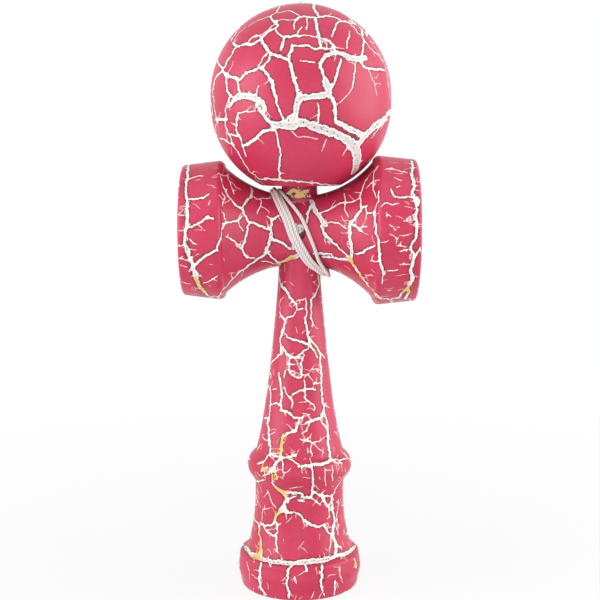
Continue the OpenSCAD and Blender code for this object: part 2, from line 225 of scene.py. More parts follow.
# Main cracks as seen in the photo: a width in millimetres, then pixels that the crack runs through
BALL_CRACKS = [
    # Crown
    (1.1, (313, 3), (314, 9), (318, 15)),
    (0.9, (295, 21), (299, 17.5), (304, 16), (312, 17.3), (320, 17), (327, 16), (335, 17), (340, 19.5)),
    (0.8, (340, 19.5), (343, 21.5), (348, 22.5), (352, 24)),
    (0.6, (352, 23), (357, 24.5), (361, 29), (364, 36)),
    (0.4, (351, 25), (355, 29), (361, 36)),
    (0.6, (341, 21.5), (336, 23.5), (335, 28), (332, 36)),
    (0.5, (295, 21), (294, 25), (294, 29)),
    (0.45, (307, 18), (308, 24), (306, 30)),
    (0.95, (315.5, 18), (316.5, 26), (318.5, 35), (321, 47)),
    (0.6, (279, 7), (277, 12), (271, 16), (263, 18.5)),
    (0.35, (263, 18.5), (255, 22), (248, 26.5)),
    (0.8, (271, 17), (273, 20.5), (276, 24)),
    (0.7, (277, 20), (277, 26), (275, 29)),
    (0.5, (278, 13), (285, 11), (292, 11.5), (299, 15.5)),
    (0.35, (276, 20.5), (284, 19.5), (292, 20), (296, 19.5)),
    # Upper left
    (0.95, (275, 28.5), (268, 31), (263, 36), (261, 40)),
    (0.35, (275, 24), (270, 28), (265, 33)),
    (0.55, (275, 29), (278, 33), (282, 37)),
    (1.0, (262, 39), (264, 44), (268, 50), (272, 54)),
    (0.9, (262, 38.5), (255, 43), (250, 45), (246, 43.5), (240, 46), (235, 47)),
    (0.55, (261, 37), (256, 35), (251, 38.5), (247, 43)),
    (0.85, (236, 46), (232, 54), (228, 60), (225, 66), (223, 71)),
    (0.7, (236, 47), (233, 42)),
    (0.3, (234, 41), (239, 33), (246, 26)),
    (0.85, (284, 37), (291, 36.5), (297, 36), (304, 35)),
    (0.4, (304, 35), (311, 35.5), (315, 37)),
    (0.5, (297, 36), (298, 31), (302, 27)),
    (0.8, (285, 37), (283, 42), (281, 50)),
    # Below the crown
    (0.7, (293, 46), (300, 46), (306, 45), (311, 47), (316, 49), (322, 48), (331, 49)),
    (0.75, (324, 39), (329, 41), (333, 45), (335, 51)),
    (1.05, (270, 54), (278, 56), (284, 58), (290, 60)),
    (0.75, (289, 58), (291, 52), (292, 44)),
    (1.0, (288.5, 60), (291, 68), (294, 79), (297, 90), (299, 97)),
    (0.65, (271, 56), (266, 63), (262, 69)),
    (0.5, (266, 54), (262, 60), (258, 66)),
    (0.8, (260, 67), (251, 71), (245, 74), (240, 79), (238, 81)),
    (0.95, (261, 68), (268, 75), (272, 82), (274, 92), (277, 103)),
    (0.6, (276, 101), (280, 112), (283, 120)),
    (0.4, (300, 61), (307, 61.5), (315, 62.5)),
    # Left side
    (0.85, (223, 71), (226, 76), (227, 84), (227, 91), (233, 98)),
    (0.85, (223, 71), (230, 77), (236, 78), (238, 84), (240, 94)),
    (0.9, (223, 71), (217, 75), (214, 82), (212, 91)),
    (0.6, (223, 69), (219, 65), (217, 59)),
    (0.45, (212, 90), (214, 101), (215, 112), (218, 123)),
    (1.8, (234, 98.5), (240, 96), (247, 96), (254, 97), (259, 100)),
    (1.2, (258, 99), (263, 103), (266, 111)),
    (1.0, (236, 98), (232, 103), (229, 107)),
    (0.4, (256, 96), (257, 90), (259, 86)),
    (1.05, (256, 104), (260, 110), (266, 118), (272, 124), (277, 125)),
    (0.55, (229, 97), (226, 105), (226, 116), (225, 125), (228, 133), (234, 145)),
    (0.8, (215, 120), (221, 119), (227, 119)),
    (0.7, (238, 113), (236, 122), (236, 131), (240, 138), (243, 147), (246, 157)),
    (0.35, (238, 113), (246, 111.5), (255, 111.5)),
    (0.6, (228, 134), (237, 136)),
    (0.9, (244, 146), (252, 142), (258, 137), (262, 132), (268, 130), (275, 129)),
    (0.65, (220, 138), (228, 141), (233, 146), (239, 154), (244, 163), (250, 172), (260, 179)),
    (0.3, (231, 123), (236, 126)),
    # The wide cracks of the middle
    (2.4, (273, 125), (279, 124.5), (286, 125.5), (292, 126), (298, 124.5)),
    (0.7, (284, 121), (288, 118), (293, 114)),
    (1.7, (299, 97.5), (308, 97), (316, 95.5), (324, 95.5), (329, 94.5)),
    (1.8, (298, 98), (297, 106), (295, 113), (294, 121)),
    (1.15, (327, 95), (332, 98), (335, 104), (335, 114), (336, 122)),
    (1.9, (328.5, 94), (328, 86), (325, 79)),
    (0.85, (325, 79), (322, 71), (320, 65)),
    (1.15, (320, 67), (322, 60), (326, 56), (332, 53), (338, 52)),
    (1.9, (338, 52), (345, 55), (352, 58.5), (358, 59.5), (365, 57.5)),
    (0.7, (330, 90), (334, 84), (337, 76), (338, 68), (341, 59)),
    (2.7, (299, 122), (306, 124), (316, 127), (326, 130), (336, 134), (345, 139)),
    (3.0, (344, 138), (351, 143), (356, 150)),
    (3.1, (355, 148), (358, 157), (357, 164), (354, 173)),
    (1.6, (336, 122), (345, 126), (352, 130), (360, 134), (367, 135)),
    (2.3, (356, 147), (362, 140), (368, 133), (376, 125), (384, 119), (391, 111)),
    (0.35, (371, 138), (380, 127), (388, 119)),
    (0.45, (318, 103), (319, 112), (318, 122)),
    # Right side
    (0.75, (358, 60), (364, 66), (370, 69), (377, 69), (384, 71)),
    (0.45, (356, 61), (355, 70), (354, 80), (352, 89)),
    (0.3, (352, 89), (346, 97), (339, 103)),
    (0.75, (361, 31), (364, 40), (363, 50), (362, 57)),
    (0.5, (364, 40), (370, 48), (378, 55), (383, 62)),
    (0.45, (350, 31), (350, 36), (347, 41), (347, 48)),
    (0.4, (361, 28), (369, 39), (377, 50), (383, 60), (387, 72), (389, 86), (390, 99)),
    (0.3, (369, 71), (374, 82), (377, 95)),
    # Below
    (0.6, (276, 130), (277, 140), (280, 149), (280, 160), (279, 171), (280, 179)),
    (1.05, (259, 179), (268, 178.5), (280, 180), (292, 181), (304, 182)),
    (0.75, (302, 182), (318, 183.5), (332, 185), (341, 185)),
    (0.3, (292, 133), (298, 137), (308, 137), (318, 139)),
    (0.3, (326, 139), (324, 145), (322, 151)),
    (0.3, (350, 142), (347, 148), (343, 155)),
]

CROSSPIECE_CRACKS = [
    # Small cup: the ring inside its rim
    (0.85, (190, 160), (188, 168), (187, 178), (185.5, 190), (187, 200)),
    (1.0, (187, 200), (187, 212), (187, 222), (186, 232), (184.5, 242)),
    (1.15, (184.5, 242), (187, 250), (191, 261), (194, 271)),
    (1.5, (193, 268), (196, 279), (200, 287), (205, 293)),
    (0.7, (204, 291), (208, 296), (212, 297.5)),
    # Small cup: short cracks that run off the ring
    (0.45, (189, 178.5), (196, 176.5), (203, 176)),
    (0.6, (188, 199.5), (196, 199), (203, 198), (209, 194)),
    (0.65, (188, 228), (196, 225), (203, 221), (208, 217), (213, 219)),
    (0.35, (189, 239), (193, 243), (197, 244)),
    (0.3, (177, 214), (184, 215)),
    (0.3, (177, 245.5), (184, 246)),
    (0.3, (178, 258), (187, 260)),
    (0.3, (181, 282), (191, 284)),
    (0.3, (180, 265), (187, 267)),
    (0.4, (204, 283), (211, 280), (217, 276)),
    (0.35, (195, 270), (202, 277)),
    (0.3, (208, 206), (210, 200)),
    # Small cup: flank
    (0.45, (211, 297), (218, 296), (223, 290)),
    (0.75, (223, 290), (232, 280), (240, 272), (248, 266)),
    (1.0, (246, 267), (256, 260), (263, 256), (268, 252)),
    (1.05, (272, 219), (271, 228), (271, 236), (269, 244), (265, 253)),
    (0.65, (272, 219), (277, 217), (281, 214)),
    (0.35, (272, 219), (267, 216)),
    (0.85, (272, 239), (279, 241), (285, 245), (290, 249)),
    (0.8, (248, 222), (254, 223), (261, 226), (267, 229), (271, 229)),
    (0.8, (249, 223), (245, 216), (243, 210), (241, 208), (236, 206), (232, 200)),
    (0.5, (232, 200), (227, 196), (225, 190), (222, 183), (220, 177)),
    (0.65, (242, 208), (246, 202), (251, 197), (252, 191), (251, 187)),
    (0.4, (252, 196), (256, 199), (263, 199), (271, 198.5)),
    (0.4, (262, 201), (259, 207), (257, 214)),
    (0.65, (249, 225), (247, 232), (245, 240), (242, 249)),
    (0.55, (242, 248), (244, 254), (247, 258), (254, 258)),
    (0.45, (242, 249), (236, 243), (231, 239), (226, 236)),
    (0.6, (222, 224), (230, 222), (237, 221), (242, 217)),
    (0.6, (224, 223), (222, 229), (222, 235), (219, 243), (217, 250)),
    (0.75, (218, 250), (211, 253), (205, 256), (199, 261), (195, 265)),
    (0.4, (226, 220), (223, 214), (221, 210)),
    (0.35, (238, 221), (240, 226), (243, 231)),
    (0.4, (227, 175), (231, 186), (234, 194)),
    (0.4, (222, 192), (225, 198), (222, 206)),
    (0.3, (231, 181), (236, 187), (241, 190)),
    (0.65, (266, 252), (272, 257), (277, 262), (282, 266)),
    (0.35, (262, 261), (270, 262), (279, 265)),
    (1.3, (280, 263), (286, 259.5), (293, 256.5), (304, 255)),
    (0.6, (282, 262), (290, 260), (297, 258.5)),
    (0.4, (292, 239), (292, 245), (294, 250)),
    (0.4, (219, 173), (224, 176), (229, 174)),
    # Big cup: the ring inside its rim
    (0.9, (411, 160), (413, 168), (412, 176), (414, 184), (412, 193)),
    (0.9, (413, 193), (415, 200), (417, 208), (416, 217), (417, 227), (416, 237)),
    (0.75, (416, 237), (412, 244), (411, 249), (414, 255)),
    (0.9, (416, 196), (419, 201), (417, 207)),
    (1.0, (414, 255), (413, 262), (411, 270), (413, 279)),
    (0.6, (420, 247), (417, 254), (413, 260)),
    (1.1, (413, 278), (409, 286), (404, 292)),
    (0.75, (404, 292), (399, 297), (395, 299)),
    (0.95, (408, 287), (409, 292), (405, 299)),
    # Big cup: second ring over its shoulder
    (0.4, (379, 165), (374, 173), (373, 182), (373, 190), (377, 198)),
    (0.5, (379, 191), (378, 203), (374, 211)),
    (0.9, (374, 211), (375, 222), (376, 232), (379, 241)),
    (0.95, (378, 239), (379, 252), (380, 262), (382, 269)),
    (0.6, (382, 269), (385, 274)),
    (0.35, (383, 272), (382, 284)),
    # Big cup: flank
    (1.05, (361, 210), (356, 216), (350, 224), (350, 233)),
    (1.15, (350, 231), (350, 241), (352, 250), (351, 260)),
    (0.65, (361, 210), (361, 203), (360, 197), (363, 188), (365, 181)),
    (0.35, (365, 181), (371, 173), (377, 167)),
    (0.4, (366, 188), (373, 182), (379, 180)),
    (0.55, (318, 213), (325, 211.5), (332, 208), (340, 203), (346, 203), (353, 202), (360, 198)),
    (0.4, (344, 193), (345, 202), (345, 210), (348, 217)),
    (0.7, (361, 207), (367, 206)),
    (0.5, (366, 206), (366, 213), (371, 214), (375, 211)),
    (0.3, (366, 213), (366, 220)),
    (0.65, (351, 224), (356, 227), (361, 231)),
    (0.4, (358, 229), (367, 226)),
    (1.35, (311, 202), (316, 212), (321, 219), (326, 226)),
    (0.75, (312, 203), (308, 212), (307, 223)),
    (1.4, (309, 197), (313, 204)),
    (0.9, (321, 226), (325, 234), (331, 241), (337, 246)),
    (0.6, (336, 245), (343, 252), (349, 258)),
    (0.35, (327, 224), (333, 222), (340, 224), (346, 229)),
    (0.95, (323, 257), (333, 257.5), (342, 259), (351, 261)),
    (0.9, (314, 254), (322, 253.5), (331, 254)),
    (1.15, (351, 259), (356, 270), (362, 277)),
    (0.9, (361, 276), (368, 285), (374, 292), (380, 298)),
    (0.75, (379, 298), (388, 299.5), (396, 299)),
    (0.75, (355, 254), (362, 252.5), (368, 249), (375, 246)),
    # Big cup: hairlines on its band
    (0.6, (391, 189), (394, 196), (401, 197.5), (408, 196.5), (414, 198)),
    (0.35, (380, 207), (386, 203), (393, 205), (399, 204)),
    (0.4, (403, 221), (412, 221)),
    (0.3, (386, 213), (391, 217)),
    (0.3, (389, 225), (399, 228)),
    (0.35, (396, 246), (406, 246)),
    (0.35, (400, 251), (411, 249)),
    (0.35, (400, 264), (410, 264)),
    (0.4, (387, 271), (398, 270)),
    (0.3, (370, 261), (378, 261)),
    (0.3, (365, 275), (374, 276)),
    (0.4, (386, 169), (392, 168), (399, 171), (407, 172)),
    (0.3, (390, 234), (399, 239)),
    (0.3, (395, 178), (402, 181)),
    (0.3, (417, 224), (422, 225)),
    (0.3, (416, 182), (420, 182)),
    (0.3, (396, 187), (401, 186)),
]

KEN_CRACKS = [
    # Spike
    (1.1, (287, 194), (293, 190), (300, 194), (308, 190)),
    (0.7, (292, 197), (302, 197), (312, 195)),
    # Stem under the crosspiece
    (0.55, (279, 266), (279, 279)),
    (0.85, (279, 277), (282, 286), (287, 293), (293, 301)),
    (0.5, (293, 300), (296, 304), (297, 310)),
    (0.3, (297, 300), (302, 300), (306, 298)),
    (0.5, (297, 310), (303, 309)),
    (0.5, (297, 310), (293, 316), (287, 318), (284, 320)),
    (0.45, (318, 270), (319, 284)),
    (0.75, (319, 284), (317, 292), (312, 300), (311, 308)),
    (0.55, (311, 307), (311, 316), (313, 326)),
    (0.4, (306, 299), (306, 307), (307, 314), (305, 318)),
    (0.7, (305, 318), (307, 328), (309, 337), (309, 346)),
    (0.6, (279, 312), (282, 317), (285, 321)),
    (0.85, (285, 320), (284, 328), (282, 334), (280, 338)),
    (0.75, (280, 338), (281, 346), (281, 354)),
    (0.5, (281, 353), (276, 358), (271, 363), (270, 371), (271, 379)),
    (0.75, (283, 347), (286, 354), (291, 357), (299, 357.5)),
    (0.55, (298, 356), (303, 352), (308, 348)),
    (0.75, (287, 337), (295, 340), (302, 342), (309, 345)),
    (0.35, (283, 333), (288, 337)),
    (0.6, (310, 345), (314, 350), (317, 358)),
    (0.55, (310, 339), (315, 344), (319, 351), (321, 358)),
    (0.35, (319, 351), (325, 359)),
    (0.7, (320, 357), (321, 366), (322, 374), (321, 384)),
    (0.3, (310, 370), (316, 369), (321, 370)),
    (0.75, (321, 384), (322, 394), (323, 402), (324, 411)),
    (0.55, (290, 358), (289, 366), (290, 373), (295, 377), (301, 377), (302, 371), (301, 363), (304, 355)),
    (0.35, (287, 365), (295, 364)),
    (0.35, (302, 375), (308, 374), (312, 380)),
    (0.6, (293, 394), (299, 391), (307, 389.5), (315, 389)),
    (0.4, (304, 380), (305, 390), (305, 398)),
    (0.4, (304, 398), (310, 402), (314, 405), (315, 410)),
    (0.4, (313, 384), (320, 383)),
    # Stem above the collar
    (0.7, (279, 373), (281, 385), (282, 394), (281, 403)),
    (0.65, (281, 402), (281, 411), (286, 412)),
    (0.5, (285, 370), (284, 377)),
    (0.45, (284, 387), (287, 395), (292, 399), (292, 408)),
    (0.75, (285, 411), (290, 413), (294, 418)),
    (0.6, (294, 418), (300, 418), (304, 417)),
    (0.4, (303, 413), (310, 415)),
    (0.7, (299, 420), (297, 426), (294, 432)),
    (0.8, (296, 431), (288, 433), (283, 437)),
    (1.1, (283, 436), (281, 445), (281, 458)),
    (0.6, (270, 387), (271, 398), (270, 410), (269, 421)),
    (0.95, (268, 418), (268, 430), (269, 439), (271, 446), (270, 455)),
    (0.5, (272, 405), (277, 403), (281, 406)),
    (0.3, (272, 390), (277, 389)),
    (0.35, (264, 418), (268, 418)),
    (0.75, (324, 410), (320, 418), (313, 421), (306, 423)),
    (0.6, (324, 411), (327, 420), (328, 429)),
    (1.05, (328, 428), (328, 440), (329, 450), (331, 459)),
    (0.45, (321, 420), (326, 428)),
    (0.4, (309, 424), (307, 430), (302, 434)),
    (0.35, (324, 405), (329, 407)),
    (0.5, (300, 439), (306, 441), (313, 442)),
    (0.4, (312, 442), (311, 449), (312, 456)),
    (0.3, (314, 444), (319, 449), (324, 452)),
    (0.35, (313, 442), (320, 441), (325, 437)),
    (0.4, (257, 450), (261, 444)),
    (0.4, (262, 437), (267, 440)),
    (0.4, (341, 450), (346, 457), (351, 460)),
    (0.35, (335, 431), (338, 436)),
    # Collar
    (0.65, (270, 455), (266, 459), (262, 462), (257, 464)),
    (0.65, (270, 454), (275, 456), (282, 458)),
    (1.1, (282, 458), (276, 463), (273, 468), (271, 473)),
    (0.8, (284, 458), (289, 456.5), (296, 455)),
    (0.6, (290, 459), (295, 462), (300, 466)),
    (1.0, (299, 466), (307, 465.5), (313, 464.5), (320, 464.5), (326, 463), (331, 459)),
    (0.5, (331, 460), (340, 459.5), (347, 459)),
    (0.4, (332, 460), (338, 463), (342, 464)),
    (0.4, (282, 460), (283, 468), (283, 476)),
    (0.7, (312, 466), (313, 474), (313, 482), (312, 492)),
    (0.3, (325, 468), (325, 476), (326, 486)),
    (0.35, (332, 465), (333, 472), (332, 480)),
    (1.0, (261, 471), (267, 467)),
    (0.7, (256, 481), (264, 480)),
    (0.4, (263, 476), (268, 474), (270, 468)),
    (0.6, (275, 471), (277, 480)),
    (0.5, (273, 475), (272, 481)),
    # Neck and foot of the stem
    (0.8, (271, 482), (276, 488)),
    (1.25, (275, 486), (281, 491), (285, 495), (288, 501)),
    (0.8, (286, 493.5), (294, 492.5), (303, 494)),
    (0.5, (288, 499), (296, 496)),
    (0.3, (290, 488), (297, 487)),
    (0.75, (301, 497), (309, 498), (314, 493.5)),
    (0.5, (298, 500), (304, 501)),
    (0.7, (313, 492), (318, 494), (322, 498), (326, 503), (330, 509)),
    (0.4, (311, 498), (316, 501), (320, 505)),
    (0.6, (318, 493.5), (325, 496), (332, 496)),
    (0.95, (332, 495), (332, 506), (334, 516), (334, 527)),
    (0.3, (329, 508), (330, 518)),
    (0.45, (341, 480), (335, 490), (332, 497)),
    (0.4, (339, 500), (337, 512), (337, 527), (338, 535)),
    (0.9, (288, 500), (283, 505), (279, 510)),
    (0.9, (284, 503), (286, 512), (291, 513)),
    (1.0, (288, 511), (279, 512), (276, 516), (274, 523)),
    (0.65, (275, 522), (270, 525), (264, 525), (260, 522)),
    (0.55, (294, 512), (299, 514), (304, 519)),
    (0.75, (303, 518), (311, 525), (318, 526)),
    (0.65, (318, 527), (324, 525), (328, 532), (333, 537)),
    (0.85, (259, 524), (259, 533), (261, 541), (261, 549)),
    (0.55, (252, 512), (255, 520), (260, 525)),
    (0.5, (263, 527), (268, 533), (274, 536), (277, 532), (277, 524)),
    (0.55, (276, 536), (276, 544), (278, 553)),
    (0.35, (262, 510), (262, 521)),
    (0.3, (262, 510), (270, 508)),
    (0.35, (268, 491), (271, 501), (276, 508)),
    (0.35, (257, 489), (257, 504)),
    (1.2, (333, 526), (333, 536), (336, 545), (335, 556)),
    (0.35, (331, 537), (330, 548)),
    (0.35, (336, 543), (342, 550)),
    # Ledge and base ring
    (1.3, (245, 546), (249, 552), (254, 557)),
    (1.5, (252, 556), (263, 560), (272, 562)),
    (1.6, (252, 554), (257, 556), (261, 552)),
    (1.65, (270, 562), (284, 563), (294, 563.5), (304, 562.5), (314, 561), (324, 560), (331, 558)),
    (1.3, (330, 558), (337, 556), (344, 555), (350, 551), (355, 546)),
    (0.9, (262, 550), (261, 558)),
    (0.9, (261, 563), (260, 572), (259, 581), (262, 590)),
    (0.7, (261, 588), (266, 595)),
    (0.65, (292, 565), (288, 571), (287, 580), (287, 587)),
    (0.85, (287, 586), (289, 592), (289, 598)),
    (0.8, (322, 565), (322, 574), (321, 582), (322, 590)),
    (0.4, (322, 590), (325, 596)),
    (0.65, (335, 580), (335, 588), (334, 595)),
    (0.35, (339, 566), (340, 573), (342, 580)),
    (0.7, (305, 564), (307, 571)),
    (0.5, (269, 563), (271, 567)),
    (0.3, (247, 562), (249, 570)),
    (0.3, (295, 576), (296, 584)),
    (0.3, (311, 598), (314, 591)),
    (1.3, (354.5, 559), (356.5, 567)),
]

# Places where yellowed varnish stains the ground: a pixel of the photo and a radius in millimetres
CROSSPIECE_STAINS = [((196, 282), 3.2), ((202, 289), 3.0), ((408, 290), 4.0), ((352, 262), 3.0),
                     ((282, 264), 2.6), ((289, 259), 3.2), ((360, 276), 2.6), ((372, 289), 2.2)]
KEN_STAINS = [((298, 193), 4.6), ((264, 468), 2.4), ((260, 481), 2.6), ((274, 477), 2.6), ((257, 557), 3.2),
              ((261, 548), 3.2), ((356, 563), 2.4), ((276, 514), 3.4), ((282, 445), 5.0), ((281, 490), 4.0),
              ((260, 534), 3.6)]

# How the strands lie round the crosspiece: an angle from the front upwards in degrees, then in millimetres
# the place of their middle, their spacing, how far every other strand lies on its neighbours, and how far
# all of them stand off the wood
WINDING = [
    (-90, 8.8, 0.68, 1.0, 0.6), (-78, 8.3, 0.78, 0.95, 1.0), (-66, 6.7, 0.95, 0.7, 1.4),
    (-53, 3.9, 1.1, 0.4, 0.6), (-31, 1.4, 1.15, 0.25, 0), (-13, -0.5, 1.15, 0.25, 0),
    (0, -1.7, 1.15, 0.25, 0), (20, -3.1, 1.15, 0.25, 0), (44, -5.2, 1.15, 0.25, 0),
    (65, -6.8, 1.05, 0.6, 0), (90, -7.9, 0.85, 0.9, 0), (135, -4.3, 1.25, 0.2, 0),
    (180, 1.7, 1.25, 0, 0), (225, 6.6, 1.15, 0.5, 0.3)]


def arc(centre, radius, start, stop, parts):
    """Points on an arc between two angles in degrees. A point of an outline is its distance from the axis and
    its place along it."""
    angles = [math.radians(start + (stop - start) * i / parts) for i in range(parts + 1)]
    return [(centre[0] + radius * math.cos(a), centre[1] + radius * math.sin(a)) for a in angles]


def easy_curve(r0, z0, slope0, r1, z1, slope1, parts=16):
    """Points of an outline on a smooth curve between two places with given slopes."""
    rise = z1 - z0
    points = []
    for i in range(parts + 1):
        t = i / parts
        radius = ((2 * t ** 3 - 3 * t * t + 1) * r0 + (t ** 3 - 2 * t * t + t) * rise * slope0
                  + (3 * t * t - 2 * t ** 3) * r1 + (t ** 3 - t * t) * rise * slope1)
        points.append((radius, z0 + rise * t))
    return points


def fill(outline, step):
    """The outline with points no further apart than a step."""
    filled = outline[:1]
    for (r0, z0), (r1, z1) in zip(outline, outline[1:]):
        gap = math.hypot(r1 - r0, z1 - z0)
        if gap > CLOSE:
            parts = math.ceil(gap / step)
            filled += [(r0 + (r1 - r0) * i / parts, z0 + (z1 - z0) * i / parts) for i in range(1, parts + 1)]
    return filled


def eased(outline, passes):
    """The outline with its corners softened, as lacquer softens them, and its two ends kept."""
    for _ in range(passes):
        inner = [((r0 + 2 * r1 + r2) / 4, (z0 + 2 * z1 + z2) / 4)
                 for (r0, z0), (r1, z1), (r2, z2) in zip(outline, outline[1:], outline[2:])]
        outline = outline[:1] + inner + outline[-1:]
    return outline


def only(piece):
    """Select one object alone and make it the active one."""
    bpy.ops.object.select_all(action="DESELECT")
    piece.select_set(True)
    bpy.context.view_layer.objects.active = piece


def turned(name, outline, centre, axis, steps):
    """Turn an outline round an axis, as on a lathe, into a closed mesh."""
    bpy.ops.object.select_all(action="DESELECT")
    bpy.ops.mesh.primitive_plane_add(size=MM, location=centre)
    piece = bpy.context.active_object
    piece.name = name
    points = [Vector((z, 0, r) if axis == "X" else (r, 0, z)) for r, z in outline]
    bpy.ops.object.mode_set(mode="EDIT")
    bpy.ops.mesh.merge(type="CENTER")
    bpy.ops.transform.translate(value=points[0])
    for start, stop in zip(points, points[1:]):
        bpy.ops.mesh.extrude_region_move(TRANSFORM_OT_translate={"value": stop - start})
    bpy.ops.object.mode_set(mode="OBJECT")
    lathe = piece.modifiers.new("lathe", "SCREW")
    lathe.axis = axis
    lathe.steps = lathe.render_steps = steps
    only(piece)
    bpy.ops.object.modifier_apply(modifier=lathe.name)
    bpy.ops.object.mode_set(mode="EDIT")
    bpy.ops.mesh.select_all(action="SELECT")
    bpy.ops.mesh.remove_doubles(threshold=CLOSE)
    bpy.ops.mesh.normals_make_consistent(inside=False)
    bpy.ops.object.mode_set(mode="OBJECT")
    bpy.ops.object.transform_apply(location=True)
    return piece


def cut(piece, cutter):
    """Cut one closed mesh out of another."""
    bore = piece.modifiers.new("bore", "BOOLEAN")
    bore.operation = "DIFFERENCE"
    bore.solver = "MANIFOLD"
    bore.object = cutter
    only(piece)
    bpy.ops.object.modifier_apply(modifier=bore.name)
    bpy.data.objects.remove(cutter)


def drill(radius, start, stop, end_radius=None):
    """A drill or reamer between two points, with an end radius where it tapers."""
    way = stop - start
    bpy.ops.object.select_all(action="DESELECT")
    bpy.ops.mesh.primitive_cone_add(
        vertices=64, radius1=radius, radius2=radius if end_radius is None else end_radius, depth=way.length,
        location=(start + stop) / 2, rotation=way.to_track_quat("Z", "Y").to_euler())
    return bpy.context.active_object


def photo_ray(stage, x, y):
    """The camera's place and the direction through a pixel of the photo."""
    start = Vector((stage.camera_x, stage.camera_y, stage.camera_z))
    ahead = Vector((0, math.cos(stage.pitch), -math.sin(stage.pitch)))
    up = Vector((0, math.sin(stage.pitch), math.cos(stage.pitch)))
    right = Vector((1, 0, 0))
    middle = PHOTO_SIZE / 2
    return start, (ahead * stage.focal + right * (x - middle) + up * (middle - y)).normalized()


